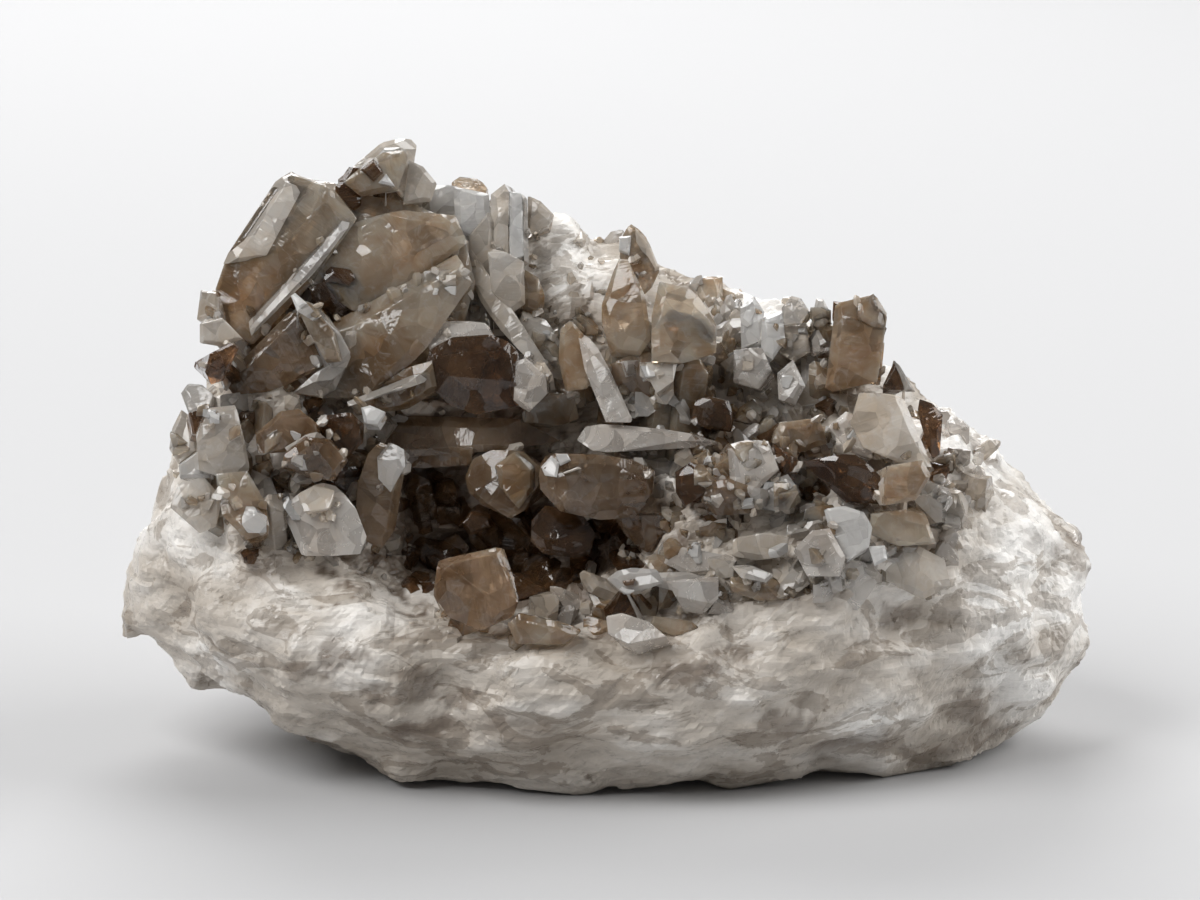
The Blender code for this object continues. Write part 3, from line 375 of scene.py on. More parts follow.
# Lower edge of the crystal-covered part of the front: (across, up)
CRYSTAL_LINE = (
    (-80, 0), (-66, -6), (-60, -13), (-52, -17), (-40, -18), (-31, -21), (-24, -28), (-14, -30),
    (0, -30), (12, -25), (30, -23), (40, -22), (52, -23), (56, -12), (62, -2), (80, 8),
)


def tree_of(pieces):
    """One search tree over the faces of these pieces."""
    points, faces = [], []
    for piece in pieces:
        start = len(points)
        points += [vert.co[:] for vert in piece.data.vertices]
        faces += [[start + i for i in face.vertices] for face in piece.data.polygons]
    return BVHTree.FromPolygons(points, faces)


def view_axes(view=0):
    """A view's directions: to the right, up, and towards the viewer."""
    round_block = Matrix.Rotation(math.radians(view), 3, "Z")
    towards = round_block @ Vector((0, -math.cos(VIEW_ELEVATION), math.sin(VIEW_ELEVATION)))
    right = round_block @ Vector((1, 0, 0))
    return right, towards.cross(right), towards


def sight_line(across, up, view=0):
    """Start and direction of the line of sight through a place in a view."""
    right, upward, towards = view_axes(view)
    eye = VIEW_MIDDLE + towards * VIEW_DISTANCE
    place = VIEW_MIDDLE + right * across * MM + upward * up * MM
    return eye, (place - eye).normalized()


def in_view(place, view=0):
    """Where a point shows in a view: millimetres across and up."""
    right, upward, towards = view_axes(view)
    offset = place - VIEW_MIDDLE
    scale = VIEW_DISTANCE / (VIEW_DISTANCE - offset.dot(towards)) / MM
    return offset.dot(right) * scale, offset.dot(upward) * scale


def above_line(across, up):
    """How far a place in the front view is above the lower edge of the crystals, in millimetres."""
    return up - float(np.interp(across, [p[0] for p in CRYSTAL_LINE], [p[1] for p in CRYSTAL_LINE]))


def foot_and_tip(crystal, block_tree):
    """Where the crystal leaves the block, and its tip."""
    eye, line = sight_line(*crystal.foot, crystal.view)
    foot = block_tree.ray_cast(eye, line)[0]
    if foot is None:
        middle = eye - line * (eye.dot(line) / line.dot(line))
        foot = block_tree.find_nearest(middle)[0]
    outwards = Matrix.Rotation(math.radians(crystal.view), 3, "Z") @ Vector((0, -1, 0))
    eye, line = sight_line(*crystal.tip, crystal.view)
    tip_depth = foot.dot(outwards) + crystal.out * MM
    return foot, eye + line * ((tip_depth - eye.dot(outwards)) / line.dot(outwards))


def prism_planes(foot, tip, facing, width, thickness, lean, blunt, aside, root, draws):
    """Faces of a six-sided crystal with a six-faced end, each as a point on it and its direction."""
    axis = (tip - foot).normalized()
    side = axis.cross(facing)
    body = foot + side * aside * width
    planes = [(foot - axis * root, -axis)]
    for k in range(6):
        angle = math.radians(60 * k)
        radial = facing * math.cos(angle) + side * math.sin(angle)
        reach = thickness / 2 if k in (0, 3) else width / 2 * math.cos(math.pi / 6)
        reach *= draws.uniform(0.9, 1.08)
        normal = (radial + axis * math.tan(math.radians(lean))).normalized()
        planes.append((body + radial * reach, normal))
        drop = blunt * width * draws.uniform(-0.9, 1.0)
        slope = axis * math.cos(TERMINATION_ANGLE) + radial * math.sin(TERMINATION_ANGLE)
        planes.append((tip - axis * drop, slope))
    return planes


def solid_of(planes, middle, length, wear):
    """A closed solid cut to these faces, with its edges slightly worn."""
    mesh = bmesh.new()
    bmesh.ops.create_cube(mesh, size=3 * length, matrix=Matrix.Translation(middle))
    for place, normal in planes:
        cut = bmesh.ops.bisect_plane(
            mesh, geom=mesh.verts[:] + mesh.edges[:] + mesh.faces[:], dist=1e-7,
            plane_co=place, plane_no=normal, clear_outer=True,
        )
        rim = [item for item in cut["geom_cut"] if isinstance(item, bmesh.types.BMEdge)]
        if rim:
            bmesh.ops.holes_fill(mesh, edges=rim, sides=0)
    bmesh.ops.recalc_face_normals(mesh, faces=mesh.faces)
    if wear:
        bmesh.ops.bevel(
            mesh, geom=mesh.edges[:], offset=wear, segments=1, affect="EDGES", clamp_overlap=True
        )
    return mesh


class Shells:
    """Gathers closed solids. Those of one look can be joined, so that no faces are left inside."""

    def __init__(self):
        self.solids = []

    def add(self, mesh, look, origin, axis, tint):
        self.solids.append((mesh, look, origin, axis, tint))

    def join(self):
        """Joins the solids of each look in one closed solid."""
        for look in sorted({solid[1] for solid in self.solids}):
            own = [solid for solid in self.solids if solid[1] == look]
            if len(own) < 2:
                continue
            objects = []
            for number, (mesh, _, _, _, _) in enumerate(own):
                for face in mesh.faces:
                    face.material_index = number
                data = bpy.data.meshes.new("crystal")
                mesh.to_mesh(data)
                for _ in own:
                    data.materials.append(None)
                objects.append(bpy.data.objects.new("crystal", data))
            whole = self.union_of(objects)
            volumes = [mesh.calc_volume() for mesh, *_ in own]
            closed = all(len(edge.link_faces) == 2 for edge in whole.edges)
            if not closed or not max(volumes) * 0.999 < whole.calc_volume() < sum(volumes) * 1.001:
                continue
            facts = [solid[2:] for solid in own]
            self.solids = [solid for solid in self.solids if solid[1] != look]
            self.solids.append((whole, look, *zip(*facts)))

    @staticmethod
    def union_of(objects):
        """One closed mesh of these overlapping solids."""
        operands = bpy.data.collections.new("crystals")
        bpy.context.scene.collection.children.link(operands)
        for item in objects[1:]:
            operands.objects.link(item)
        bpy.context.scene.collection.objects.link(objects[0])
        union = objects[0].modifiers.new("union", "BOOLEAN")
        union.operation = "UNION"
        union.operand_type = "COLLECTION"
        union.collection = operands
        union.solver = "EXACT"
        union.material_mode = "INDEX"
        graph = bpy.context.evaluated_depsgraph_get()
        data = bpy.data.meshes.new_from_object(objects[0].evaluated_get(graph))
        whole = bmesh.new()
        whole.from_mesh(data)
        for item in objects:
            bpy.data.objects.remove(item, do_unlink=True)
        bpy.data.collections.remove(operands)
        bpy.data.meshes.remove(data)
        return whole

    def piece(self, name, materials, draws):
        """One mesh of all the solids, with what their materials need to know."""
        points, faces, face_looks = [], [], []
        along, tints, seeds = [], [], []
        for mesh, look, origins, axes, shades in self.solids:
            if not isinstance(origins, tuple):
                origins, axes, shades = (origins,), (axes,), (shades,)
            start = len(points)
            for index, vert in enumerate(mesh.verts):
                vert.index = index
                points.append(vert.co[:])
            seed_of = {}
            for face in mesh.faces:
                number = min(face.material_index, len(origins) - 1)
                faces.append([start + vert.index for vert in face.verts])
                face_looks.append(look)
                tints.append(shades[number])
                key = (number, *(round(part, 1) for part in face.normal))
                seeds.append(seed_of.setdefault(key, draws.random() * 50))
                along += [(vert.co - origins[number]).dot(axes[number]) / MM for vert in face.verts]
            mesh.free()
        looks = sorted(set(face_looks))
        data = bpy.data.meshes.new(name)
        data.from_pydata(points, [], faces)
        data.attributes.new("along", "FLOAT", "CORNER").data.foreach_set("value", along)
        data.attributes.new("tint", "FLOAT", "FACE").data.foreach_set("value", tints)
        data.attributes.new("face_seed", "FLOAT", "FACE").data.foreach_set("value", seeds)
        for look in looks:
            data.materials.append(materials[look])
        data.polygons.foreach_set("material_index", [looks.index(look) for look in face_looks])
        piece = bpy.data.objects.new(name, data)
        bpy.context.scene.collection.objects.link(piece)
        return piece


def add_crystal(shells, foot, tip, facing, width, thickness, look, draws, root,
                lean=1.5, blunt=0.25, aside=0.0, wear=EDGE_WEAR):
    axis = (tip - foot).normalized()
    facing = (facing - axis * facing.dot(axis)).normalized()
    planes = prism_planes(foot, tip, facing, width, thickness, lean, blunt, aside, root, draws)
    length = (tip - foot).length + root
    mesh = solid_of(planes, (foot + tip) / 2 - axis * root / 2, length, min(wear, width * 0.03))
    shells.add(mesh, look, foot, axis, draws.random())


def add_grown_crystal(shells, crystal, look, block_tree, draws):
    """A crystal from the list, with smaller ones grown along it in the same direction."""
    foot, tip = foot_and_tip(crystal, block_tree)
    axis = (tip - foot).normalized()
    towards = view_axes(crystal.view)[2]
    facing = (towards - axis * towards.dot(axis)).normalized()
    facing = Matrix.Rotation(math.radians(crystal.roll), 3, axis) @ facing
    side = axis.cross(facing)
    width = crystal.width * MM
    thickness = (crystal.thickness or 0.88 * crystal.width) * MM
    root = ROOT + 0.3 * width
    add_crystal(shells, foot, tip, facing, width, thickness, look, draws, root,
                crystal.lean, crystal.blunt, crystal.aside)
    length = (tip - foot).length
    for _ in range(int(crystal.width / 3.6)):
        angle = draws.uniform(-1.9, 1.9)
        radial = facing * math.cos(angle) + side * math.sin(angle)
        share = draws.uniform(0.4, 0.75)
        reach = (0.5 - 0.34 * share) * (thickness * abs(math.cos(angle)) + width * abs(math.sin(angle)))
        shift = radial * reach * draws.uniform(0.85, 1.0) + side * crystal.aside * width
        end = tip + shift - axis * (reach * 0.8 + length * draws.uniform(0.02, 0.5))
        if (end - foot - shift).dot(axis) < 0.2 * length:
            continue
        add_crystal(shells, foot + shift, end, facing, width * share, thickness * share * 1.1,
                    look, draws, root, crystal.lean, 0.3)


def add_slab(shells, slab, node_tree, block_tree, draws):
    """A solid whose front face has this outline, with worn edges and a few facets, and a stem if loose."""
    right, upward, towards = view_axes()
    points = list(zip(slab.outline[::2], slab.outline[1::2]))
    outline = [points[i] for i in geometry.convex_hull_2d([Vector(p) for p in points])]
    count = len(outline)
    across, up = (sum(p[k] for p in outline) / count for k in (0, 1))
    eye, line = sight_line(across, up)
    middle = node_tree.ray_cast(eye, line)[0] or block_tree.ray_cast(eye, line)[0]
    if middle is None:
        depth = node_tree.find_nearest(eye + line * VIEW_DISTANCE)[0].dot(towards)
        middle = eye + line * ((depth - eye.dot(towards)) / line.dot(towards))
    middle = middle + towards * slab.out * MM
    yaw, pitch = (math.tan(math.radians(angle + draws.uniform(-3, 3))) for angle in slab.tilt)
    normal = (towards + right * yaw + upward * pitch).normalized()
    corners = []
    for place in outline:
        eye, line = sight_line(*place)
        corners.append(eye + line * ((middle - eye).dot(normal) / line.dot(normal)))
    thickness = slab.thickness * MM
    planes = [(middle, normal), (middle - towards * thickness, -towards)]
    longest = Vector((0, 0, 0))
    reach = max((corner - middle).length for corner in corners)
    inner = reach
    for k in range(count):
        first, second = corners[k - 1], corners[k]
        edge = second - first
        if edge.length > longest.length:
            longest = edge
        outward = edge.cross(normal).normalized()
        if outward.dot(first - middle) < 0:
            outward.negate()
        inner = min(inner, outward.dot(first - middle))
        closing = draws.uniform(*SIDE_SLOPES) * min(1, reach / thickness)
        planes.append((first, (outward + normal * closing).normalized()))
        worn = min(draws.uniform(*WORN_EDGES) * MM, 0.2 * reach)
        planes.append((first - outward * worn, (outward + normal * draws.uniform(*WORN_SLOPES)).normalized()))
    if reach > 2.5 * MM:
        for _ in range(3):
            turn = draws.uniform(0, 2 * math.pi)
            lean = right * math.cos(turn) + upward * math.sin(turn)
            facet = (normal + lean * draws.uniform(0.08, 0.3)).normalized()
            planes.append((middle + lean * reach * draws.uniform(0.1, 0.5), facet))
    wear = min(SLAB_WEAR, 0.06 * reach)
    mesh = solid_of(planes, middle - towards * thickness / 2, 2 * reach + thickness, wear)
    shells.add(mesh, slab.look, middle, longest.normalized(), draws.random())
    back = middle - towards * thickness * 0.8
    foot, out_of_block, _, gap = block_tree.find_nearest(back)
    if gap > LOOSE_GAP and (back - foot).dot(out_of_block) > 0:
        tip = middle - towards * thickness * 0.35
        width = max(1.5 * inner, LEAST_STEM)
        add_crystal(shells, foot, tip, (tip - foot).orthogonal(), width, 0.9 * width, slab.look,
                    random.Random(9), STEM_ROOT)


def quartz_nodes(name):
    """A new material's node tree and shader."""
    material = bpy.data.materials.new(name)
    material.use_nodes = True
    tree = material.node_tree
    return material, tree, tree.nodes["Principled BSDF"]


def set_inputs(tree, node, inputs):
    """Links each input that is given as a socket, and sets those given as a number, vector or colour."""
    for key, value in inputs.items():
        socket = node.inputs[key]
        if hasattr(value, "links"):
            tree.links.new(value, socket)
        elif socket.type == "RGBA":
            socket.default_value = (*value, 1)
        else:
            socket.default_value = value


def add_node(tree, kind, inputs, **values):
    node = tree.nodes.new("ShaderNode" + kind)
    for key, value in values.items():
        setattr(node, key, value)
    set_inputs(tree, node, inputs)
    return node


def own_place(tree):
    return add_node(tree, "TexCoord", {}).outputs["Object"]


def noise_of(tree, scale, detail, roughness=0.5, distortion=0.0, stretch=(1, 1, 1)):
    """A noise over the object's own space; scale counts per metre."""
    place = add_node(tree, "Mapping", {"Vector": own_place(tree), "Scale": stretch}).outputs["Vector"]
    return add_node(tree, "TexNoise", {
        "Vector": place, "Scale": scale, "Detail": detail, "Roughness": roughness, "Distortion": distortion,
    }).outputs["Fac"]


def ramp_of(tree, source, stops):
    """Colours picked by a value; stops are (value, colour or grey)."""
    ramp = add_node(tree, "ValToRGB", {"Fac": source})
    elements = ramp.color_ramp.elements
    while len(elements) < len(stops):
        elements.new(0.5)
    for element, (value, colour) in zip(elements, stops):
        element.position = value
        element.color = (*(colour if isinstance(colour, tuple) else (colour,) * 3), 1)
    return ramp.outputs["Color"]


def mixed(tree, factor, first, second, blend="MIX"):
    """One colour mixed over another. Any of the three may be a socket or a constant."""
    inputs = {0: factor, 6: first, 7: second}
    return add_node(tree, "Mix", inputs, data_type="RGBA", blend_type=blend).outputs[2]


def attribute_of(tree, name):
    return add_node(tree, "Attribute", {}, attribute_name=name).outputs["Fac"]


def maths(tree, operation, first, second):
    return add_node(tree, "Math", {0: first, 1: second}, operation=operation).outputs[0]


def vector_maths(tree, operation, *operands):
    return add_node(tree, "VectorMath", dict(enumerate(operands)), operation=operation).outputs


def fractures(tree, size):
    """Inner fracture planes: a height with flat tilted facets of this size, and a value for each."""
    place = own_place(tree)
    wave = add_node(tree, "TexNoise", {"Vector": place, "Scale": 0.5 / size, "Detail": 0}).outputs["Color"]
    bent = vector_maths(tree, "MULTIPLY_ADD", wave, (1.6 * size,) * 3, place)[0]
    cells = add_node(tree, "TexVoronoi", {"Vector": bent, "Scale": 1 / size}).outputs
    offset = vector_maths(tree, "SUBTRACT", bent, cells["Position"])[0]
    tilt = vector_maths(tree, "SUBTRACT", cells["Color"], (0.5, 0.5, 0.5))[0]
    return vector_maths(tree, "DOT_PRODUCT", offset, tilt)["Value"], cells["Color"]


def crystal_material(name, light, deep, clearness, roughness, absorb, density, glow=0, veiled=0.45):
    """Quartz crystal: veils, clouds and fractures inside, growth lines across its faces, glassy outside."""
    material, tree, shader = quartz_nodes(name)
    broad = noise_of(tree, 75, 2, 0.5, 0.6)
    clouds = noise_of(tree, 260, 2, 0.65, 0.8)
    veils = noise_of(tree, 420, 3, 0.7, 1.5)
    facet_height, facet_value = fractures(tree, FRACTURE_SIZE)

    depth = maths(tree, "ADD", maths(tree, "MULTIPLY", broad, 0.62), maths(tree, "MULTIPLY", clouds, 0.38))
    base = ramp_of(tree, depth, ((0.37, deep), (0.62, light)))
    shade = ramp_of(tree, attribute_of(tree, "tint"), ((0.0, 0.74), (1.0, 1.0)))
    base = mixed(tree, 1.0, base, shade, "MULTIPLY")
    base = mixed(tree, 1.0, base, ramp_of(tree, facet_value, ((0.2, 0.68), (0.7, 1.0))), "MULTIPLY")
    base = mixed(tree, ramp_of(tree, veils, ((0.54, 0.0), (0.76, veiled))), base, VEIL_COLOUR)

    growth = add_node(tree, "CombineXYZ", {
        "X": maths(tree, "MULTIPLY", attribute_of(tree, "along"), GROWTH_LINES_PER_MM),
        "Y": attribute_of(tree, "face_seed"),
    }).outputs["Vector"]
    growth = add_node(tree, "TexNoise", {"Vector": growth, "Scale": 1, "Detail": 1, "Roughness": 0.7})
    relief = maths(tree, "ADD", maths(tree, "MULTIPLY", growth.outputs["Fac"], 0.25), clouds)
    relief = maths(tree, "MULTIPLY", relief, CRYSTAL_RELIEF)
    relief = maths(tree, "ADD", relief, maths(tree, "MULTIPLY", facet_height, 0.4))
    set_inputs(tree, shader, {
        "Base Color": base,
        "Roughness": ramp_of(tree, veils, ((0.5, roughness), (0.72, roughness + 0.22))),
        "IOR": QUARTZ_IOR,
        "Transmission Weight": clearness,
        "Specular IOR Level": 0.3 if name == "dark_quartz" else 0.5,
        "Normal": add_node(tree, "Bump", {"Height": relief, "Distance": 1.0}).outputs["Normal"],
    })
    if glow:
        set_inputs(tree, shader, {
            "Subsurface Weight": 1.0, "Subsurface Scale": glow * MM, "Subsurface Radius": (1.0, 1.0, 1.0),
        })
    inside = add_node(tree, "VolumeAbsorption", {"Color": absorb, "Density": density})
    tree.links.new(inside.outputs["Volume"], tree.nodes["Material Output"].inputs["Volume"])
    return material


def crystal_materials():
    return {
        "white": crystal_material("white_quartz", (0.99, 0.98, 0.96), (0.95, 0.93, 0.90), 0.5, 0.05,
                                  (0.9, 0.86, 0.8), 1),
        "clear": crystal_material("clear_quartz", (1.0, 0.97, 0.93), (0.94, 0.86, 0.76), 0.62, 0.0,
                                  (0.82, 0.72, 0.60), 2),
        "pale": crystal_material("pale_quartz", (1.0, 0.94, 0.86), (0.86, 0.73, 0.58), 0.54, 0.0,
                                 (0.75, 0.62, 0.48), 3),
        "smoky": crystal_material("smoky_quartz", (1.0, 0.87, 0.70), (0.60, 0.38, 0.20), 0.72, 0.0,
                                  (0.62, 0.44, 0.27), 8, 3),
        "brown": crystal_material("brown_quartz", (0.80, 0.60, 0.42), (0.36, 0.21, 0.10), 0.78, 0.0,
                                  (0.58, 0.40, 0.24), 14, 2, 0.3),
        "dark": crystal_material("dark_quartz", (0.44, 0.24, 0.11), (0.13, 0.06, 0.025), 0.84, 0.0,
                                 (0.45, 0.27, 0.13), 70, 0, 0.12),
        "frosted": crystal_material("frosted_quartz", (0.98, 0.93, 0.87), (0.80, 0.71, 0.62), 0.5, 0.18,
                                    (0.80, 0.70, 0.60), 5),
    }


def block_material():
    """Massive milky quartz: soft clouds, sharp-edged darker patches, stains together with painted shade
    inside the hollow, and a fine glassy grain.
    """
    material, tree, shader = quartz_nodes("milky_quartz")
    grain = noise_of(tree, 520, 5, 0.7, 0.4, (0.5, 1, 1.3))
    patches = noise_of(tree, 105, 5, 0.6, 1.2, (0.6, 1, 1.3))
    base = ramp_of(tree, attribute_of(tree, "tone"), BLOCK_TONES)
    base = mixed(tree, 1.0, base, ramp_of(tree, patches, ((0.44, PATCH_COLOUR), (0.46, 1.0))), "MULTIPLY")
    base = mixed(tree, attribute_of(tree, "stain_and_shade"), base, STAIN_AND_SHADE_COLOUR)
    base = mixed(tree, 1.0, base, ramp_of(tree, grain, ((0.34, 0.80), (0.58, 1.0))), "MULTIPLY")
    set_inputs(tree, shader, {
        "Base Color": base,
        "Roughness": ramp_of(tree, grain, ((0.38, 0.22), (0.6, 0.5))),
        "IOR": QUARTZ_IOR,
        "Normal": add_node(tree, "Bump", {
            "Height": grain, "Strength": 0.45, "Distance": BLOCK_GRAIN,
        }).outputs["Normal"],
    })
    return material


def facets(place, size, stretch=Vector((1, 1, 1))):
    """Height of a surface broken into flat tilted facets of about this size."""
    scaled = Vector((place.x * stretch.x, place.y * stretch.y, place.z * stretch.z)) / size
    middle = noise.voronoi(scaled)[1][0]
    tilt = noise.cell_vector(middle * 37.0)
    return (scaled - middle).dot(tilt) + 0.5 * tilt.z


def fine_block(source):
    """The block with its weathered plates, hollows and pits as fine mesh."""
    data = source.data.copy()
    block = bpy.data.objects.new("fine_milky_quartz_block", data)
    bpy.context.scene.collection.objects.link(block)
    block.data.materials.clear()
    remesh = block.modifiers.new("remesh", "REMESH")
    remesh.mode = "VOXEL"
    remesh.voxel_size = BLOCK_CELL
    smooth = block.modifiers.new("smooth", "SMOOTH")
    smooth.factor = 0.5
    smooth.iterations = 2
    graph = bpy.context.evaluated_depsgraph_get()
    shaped = bpy.data.meshes.new_from_object(block.evaluated_get(graph))
    block.modifiers.clear()
    block.data = shaped
    count = len(shaped.vertices)
    points = np.empty(count * 3)
    shaped.vertices.foreach_get("co", points)
    points = points.reshape(-1, 3)
    normals = np.empty(count * 3)
    shaped.vertices.foreach_get("normal", normals)
    normals = normals.reshape(-1, 3)
    tone = np.empty(count)
    stain_and_shade = np.empty(count)
    flat_wide = Vector((0.55, 0.8, 1.25))
    for i in range(count):
        place = Vector(points[i]) / MM
        across, up = in_view(Vector(points[i]))
        front = points[i][1] < 0.02
        grown = (above_line(across, up) + 2) / 6 if front else (place.z - 60) / 10
        grown = min(1, max(0, grown))
        flat = Vector((place.x * 0.5, place.y * 0.8, place.z - 0.14 * place.x))
        plates = noise.fractal(flat / 8.0, 0.9, 2.1, 3)
        stepped = math.floor(plates * 5 + 0.6 * noise.noise(place / 3.0)) / 5
        broken = facets(place, 5.2, flat_wide)
        small = facets(place + Vector((5, 9, 2)), 2.6, flat_wide)
        move = 1.0 * stepped + 0.8 * plates + (0.3 + 0.8 * grown) * broken + (0.05 + 0.2 * grown) * small
        if place.z < LOW_PART:
            move = min(move, 0) * max(0, place.z) / LOW_PART
        points[i] += normals[i] * move * MM
        clouds = noise.fractal(Vector((place.x * 0.6, place.y, place.z * 1.3)) / 13.0, 0.8, 2.2, 4)
        # white: nearness to a pale place, white quartz and, on the recessed wall at (-5, 29), partly painted
        # light
        white = max([0] + [
            1 - math.hypot(across - u, up - v) / reach for u, v, reach in WHITE_AND_LIT_PATCHES if front
        ])
        level = 0.60 + 0.30 * clouds + 0.10 * stepped + 0.06 * small + 0.10 * broken
        # Painted shade: the front of the block is made darker from 30 mm below the view's middle downwards,
        # by 0.10 for every 15 mm
        level -= 0.10 * max(0, -up - 30) / 15
        level -= 0.22 * grown * (1 - min(1, 2.5 * white)) * (0.3 + 1.2 * noise.noise(place / 7.0))
        tone[i] = min(1, max(0, level + 0.5 * white))
        streaked = Vector((place.x * 0.55, place.y, place.z * 1.7))
        dark = noise.fractal(streaked / 17.0 + Vector((3, 1, 8)), 0.8, 2.2, 4)
        torn = 1 + 0.9 * noise.fractal(place / 3.2, 0.7, 2.2, 3)
        spot, pocket_shade = (
            max([0] + [
                1 - math.hypot((across - u) / 1.3, (up - v) * 1.4) / (reach * torn)
                for u, v, reach in places if front
            ]) for places in (DARK_SPOTS, POCKET_SHADE_PLACES)
        )
        # Dark streaks and dark spots are real stains; the darkening inside the hollow is painted shade
        stain_and_shade[i] = min(0.9, max(0, (dark - 0.34) * 1.5) + min(0.55, 2.5 * spot) + 4 * pocket_shade)
    shaped.vertices.foreach_set("co", points.ravel())
    shaped.attributes.new("tone", "FLOAT", "POINT").data.foreach_set("value", tone)
    shaped.attributes.new("stain_and_shade", "FLOAT", "POINT").data.foreach_set("value", stain_and_shade)
    shaped.materials.append(block_material())
    shaped.update()
    return block


# Pale and dark places on the front of the block: (across, up, reach)
# The pale places are the block's own white quartz; at (-5, 29) the paleness is partly painted light, which
# lifts a recessed wall that lies in shade
WHITE_AND_LIT_PATCHES = (
    (-5, 29, 9), (1, 25, 6), (24, 20, 9), (-13, 37, 6), (-44, 7, 5), (8, -3, 7), (-62, -12, 9),
    (58, 0, 12), (68, -14, 14), (62, -24, 10), (66, -36, 9), (42, -44, 9), (74, -24, 8),
)
DARK_SPOTS = (
    (20.5, -31.5, 2.4), (12.5, -35, 3), (17, -34, 2), (1, -28.5, 1.6), (-41, -32, 3.4), (-46, -34, 2.6),
    (-29, -37, 4.6), (-23.5, -38.5, 3), (-24, -42, 2.6), (45.4, -26, 2.4), (57, -40.5, 3.4),
    (-28, -44, 2.6), (29, -42, 3),
)
# Painted shade: places inside the hollow whose block walls are darkened with the dark stain colour: (across,
# up, reach)
POCKET_SHADE_PLACES = ((-20, -10, 18), (-5, -17, 14))

# Druse: (middle across, up; reach across, up; how many; width; share of broken chunks; lean; looks)
DRUSE = (
    ((-60, 6), (6, 19), 80, (1.6, 4.8), 0.4, None, ("pale", "smoky", "clear", "smoky", "pale")),
    ((-46, -5), (13, 12), 90, (1.8, 5.4), 0.4, None, ("smoky", "pale", "smoky", "dark")),
    ((-14, 22), (12, 18), 90, (1.6, 5.0), 0.2, (-0.3, -0.2, 1.0), ("pale", "clear", "smoky")),
    ((10, 12), (14, 14), 90, (1.6, 5.0), 0.3, (0.1, -0.3, 1.0), ("smoky", "pale", "smoky", "clear")),
    ((32, 14), (16, 10), 110, (1.4, 5.4), 0.3, (0.1, -0.2, 1.0), ("clear", "pale", "pale", "smoky")),
    ((32, -3), (22, 9), 140, (1.6, 5.2), 0.5, None, ("pale", "smoky", "smoky", "dark", "frosted")),
    ((-13, -13), (18, 12), 90, (2.4, 6.0), 0.4, None, ("dark",)),
    ((40, -15), (14, 8), 70, (1.6, 5.2), 0.6, None, ("frosted", "pale", "smoky", "pale")),
    ((8, -24), (22, 6), 60, (1.4, 5.0), 0.7, None, ("frosted", "pale", "smoky")),
    ((60, -2), (7, 9), 40, (1.4, 5.0), 0.6, None, ("frosted", "pale")),
)


GLINT_LOOKS = ("clear", "pale", "pale", "smoky")
ROUGH_LOOKS = ("clear", "pale", "smoky", "pale", "white", "smoky")
# Places covered with small broken pieces: (middle across, up; reach across, up; how many)
ROUGH = (
    ((24, -4), (8, 5), 40), ((34, 4), (6, 4), 20), ((-24, 27), (6, 3), 10), ((-61, 1), (5, 10), 24),
    ((-47, -1), (7, 4), 12), ((22, -13), (13, 5), 26), ((10, 9), (6, 5), 16), ((-9, 16), (3, 5), 8),
    ((27, 17), (9, 7), 26), ((10, -4), (4, 4), 10), ((-52, -9), (5, 4), 8),
)


def unit_vector(draws):
    return Vector(draws.gauss(0, 1) for _ in range(3)).normalized()


def add_chunk(shells, middle, size, look, draws):
    """A broken piece of quartz: a solid with a few flat faces in all directions."""
    stretch = unit_vector(draws)
    planes = []
    for _ in range(draws.randint(8, 12)):
        normal = unit_vector(draws)
        reach = size * draws.uniform(0.32, 0.5) * (1 + 0.4 * abs(normal.dot(stretch)))
        planes.append((middle + normal * reach, normal))
    mesh = solid_of(planes, middle, size * 0.5, 0)
    shells.add(mesh, look, middle, stretch, draws.random())


def grow_druse(block_tree, crystal_tree, draws):
    """Small crystals and broken pieces all over the crystal-covered part of the block."""
    shells = Shells()
    for (across, up), (wide, high), number, (least, most), chunks, lean, looks in DRUSE:
        for _ in range(number):
            u = across + wide * draws.uniform(-1, 1)
            v = up + high * draws.uniform(-1, 1)
            if above_line(u, v) < draws.uniform(-3, 3) or math.hypot((u + 5) / 1.3, v - 29) < 6:
                continue
            eye, line = sight_line(u, v)
            foot, normal = block_tree.ray_cast(eye, line)[:2]
            cover = crystal_tree.ray_cast(eye, line)[0]
            if foot is None or cover is not None and (foot - cover).dot(line) > 1 * MM:
                continue
            lean_to = Vector((draws.uniform(-1.1, 1.1), draws.uniform(-0.8, 0.3), draws.uniform(-0.5, 1.1)))
            axis = (normal + lean_to).normalized()
            if lean:
                axis = (Vector(lean).normalized() + 0.35 * lean_to).normalized()
            width = draws.triangular(least, most, least) * MM
            look = draws.choice(looks)
            if draws.random() < chunks:
                middle = foot + normal * width * draws.uniform(-0.15, 0.15)
                add_chunk(shells, middle, width * 1.1, look, draws)
                continue
            length = width * draws.uniform(0.7, 1.5)
            facing = axis.orthogonal().normalized()
            facing = Matrix.Rotation(draws.uniform(0, math.pi), 3, axis) @ facing
            add_crystal(shells, foot, foot + axis * length, facing, width, width * draws.uniform(0.6, 1.0),
                        look, draws, width * 0.6, draws.uniform(0.5, 5), 0.3, wear=0)
    return shells


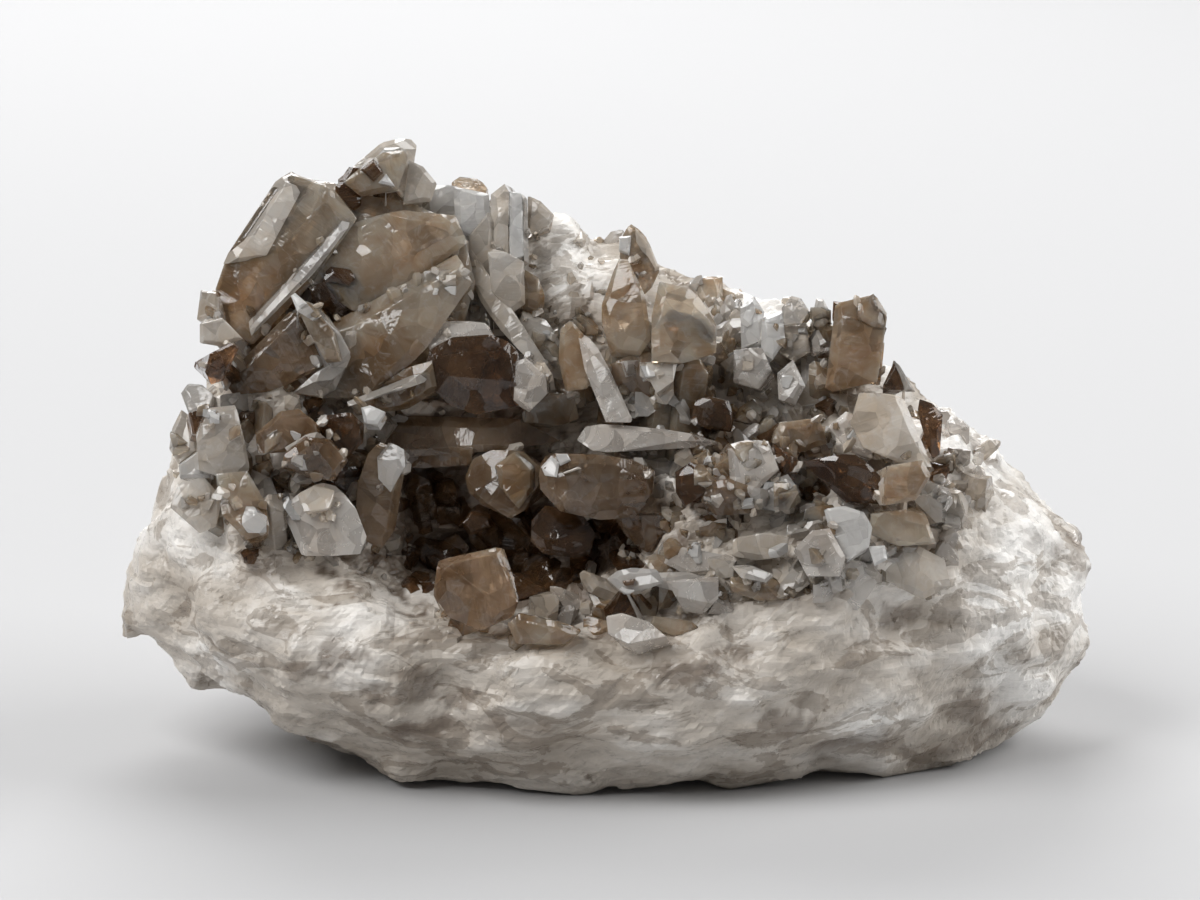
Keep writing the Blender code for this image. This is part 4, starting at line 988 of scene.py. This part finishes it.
def grow_glints(shown, draws):
    """Tiny clear points in the crevices between the larger crystals."""
    shells = Shells()
    tries = 4000
    for _ in range(tries):
        u, v = draws.uniform(-62, 56), draws.uniform(-26, 34)
        if above_line(u, v) < 0 or (-32 < u < 3 and -25 < v < -3):
            continue
        eye, line = sight_line(u, v)
        foot, normal = shown.ray_cast(eye, line)[:2]
        if foot is None:
            continue
        aside = sight_line(u + draws.choice((-0.9, 0.9)), v + draws.choice((-0.9, 0.9)))
        beside = shown.ray_cast(*aside)[0]
        if beside is None or not 1.2 * MM < (foot - beside).dot(line) < 6 * MM:
            continue
        axis = (normal + 0.8 * unit_vector(draws)).normalized()
        width = draws.triangular(0.7, 2.4, 0.9) * MM
        tip = foot + axis * width * draws.uniform(0.6, 1.4)
        thickness = width * draws.uniform(0.6, 1.0)
        look = draws.choice(GLINT_LOOKS)
        add_crystal(shells, foot, tip, axis.orthogonal().normalized(), width, thickness, look, draws,
                    width * 0.5, draws.uniform(0.5, 8), 0.3, wear=0)
    for (across, up), (wide, high), number in ROUGH:
        for _ in range(number):
            u, v = across + wide * draws.uniform(-1, 1), up + high * draws.uniform(-1, 1)
            foot, normal = shown.ray_cast(*sight_line(u, v))[:2]
            if foot is None or above_line(u, v) < -4:
                continue
            size = draws.triangular(0.6, 2.8, 0.9) * MM
            look = draws.choice(ROUGH_LOOKS)
            add_chunk(shells, foot - normal * size * draws.uniform(0.1, 0.3), size, look, draws)
    return shells


def build_stage():
    floor_data = bpy.data.meshes.new("floor")
    corners = [(x * FLOOR_REACH, y * FLOOR_REACH, 0) for x, y in ((-1, -1), (1, -1), (1, 1), (-1, 1))]
    floor_data.from_pydata(corners, [], [(0, 1, 2, 3)])
    floor = bpy.data.objects.new("floor", floor_data)
    floor.location.z = -FLOOR_GAP
    bpy.context.scene.collection.objects.link(floor)
    material, tree, shader = quartz_nodes("pale_floor")
    set_inputs(tree, shader, {"Base Color": FLOOR_COLOUR, "Roughness": 1.0, "Specular IOR Level": 0.0})
    floor_data.materials.append(material)


def soft_light(name, place, size, power):
    lamp = bpy.data.lights.new(name, "AREA")
    lamp.shape = "SQUARE"
    lamp.size = size
    lamp.energy = power
    light = bpy.data.objects.new(name, lamp)
    light.location = place
    aim = VIEW_MIDDLE - Vector(place)
    light.rotation_euler = aim.to_track_quat("-Z", "Y").to_euler()
    bpy.context.scene.collection.objects.link(light)


def build_light():
    world = bpy.data.worlds.new("soft_studio")
    world.use_nodes = True
    tree = world.node_tree
    heading = add_node(tree, "TexCoord", {}).outputs["Generated"]
    glow = add_node(tree, "MapRange", {
        "Value": vector_maths(tree, "DOT_PRODUCT", heading, BRIGHT_SIDE)["Value"],
        "From Min": -0.4, "From Max": 0.8, "To Min": LEAST_GLOW, "To Max": MOST_GLOW,
    })
    tree.links.new(glow.outputs["Result"], tree.nodes["Background"].inputs["Strength"])
    bpy.context.scene.world = world
    soft_light("key", (-0.6, -0.45, 0.9), 0.7, 11)
    soft_light("side", (0.9, 0.05, 0.6), 0.8, 9)
    soft_light("back", (-0.15, 0.9, 0.75), 0.8, 12)
    bpy.context.scene.view_settings.view_transform = "Standard"


def build_camera():
    lens = bpy.data.cameras.new("camera")
    lens.sensor_width = SENSOR
    lens.lens = VIEW_DISTANCE / VIEW_WIDTH * SENSOR
    lens.clip_start = 0.01
    lens.clip_end = 100
    camera = bpy.data.objects.new("camera", lens)
    right, upward, towards = view_axes()
    camera.location = VIEW_MIDDLE + towards * VIEW_DISTANCE
    camera.rotation_euler = (-towards).to_track_quat("-Z", "Y").to_euler()
    bpy.context.scene.collection.objects.link(camera)
    bpy.context.scene.camera = camera


def main():
    build_camera()
    build_light()
    build_stage()
    materials = crystal_materials()
    block_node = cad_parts["milky_quartz_block"]
    block_tree = tree_of([block_node])
    draws = random.Random(5)
    shown = []
    for name, crystals in GROUPS.items():
        shells = Shells()
        looks = GROUP_LOOKS.get(name, ("smoky",))
        node_tree = tree_of([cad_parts[name]])
        for index, crystal in enumerate(crystals):
            if isinstance(crystal, Slab):
                add_slab(shells, crystal, node_tree, block_tree, draws)
            else:
                add_grown_crystal(shells, crystal, looks[index % len(looks)], block_tree, draws)
        shells.join()
        piece = shells.piece("fine_" + name, materials, draws)
        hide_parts(name)
        shown.append(piece)
    druse = grow_druse(block_tree, tree_of(shown), random.Random(21)).piece("druse", materials, draws)
    block = fine_block(block_node)
    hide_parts("milky_quartz_block")
    shown += [druse, block]
    shown_tree = tree_of(shown)
    glints = grow_glints(shown_tree, random.Random(33)).piece("glints", materials, draws)
    for piece in shown + [glints]:
        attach(piece, "root")


main()
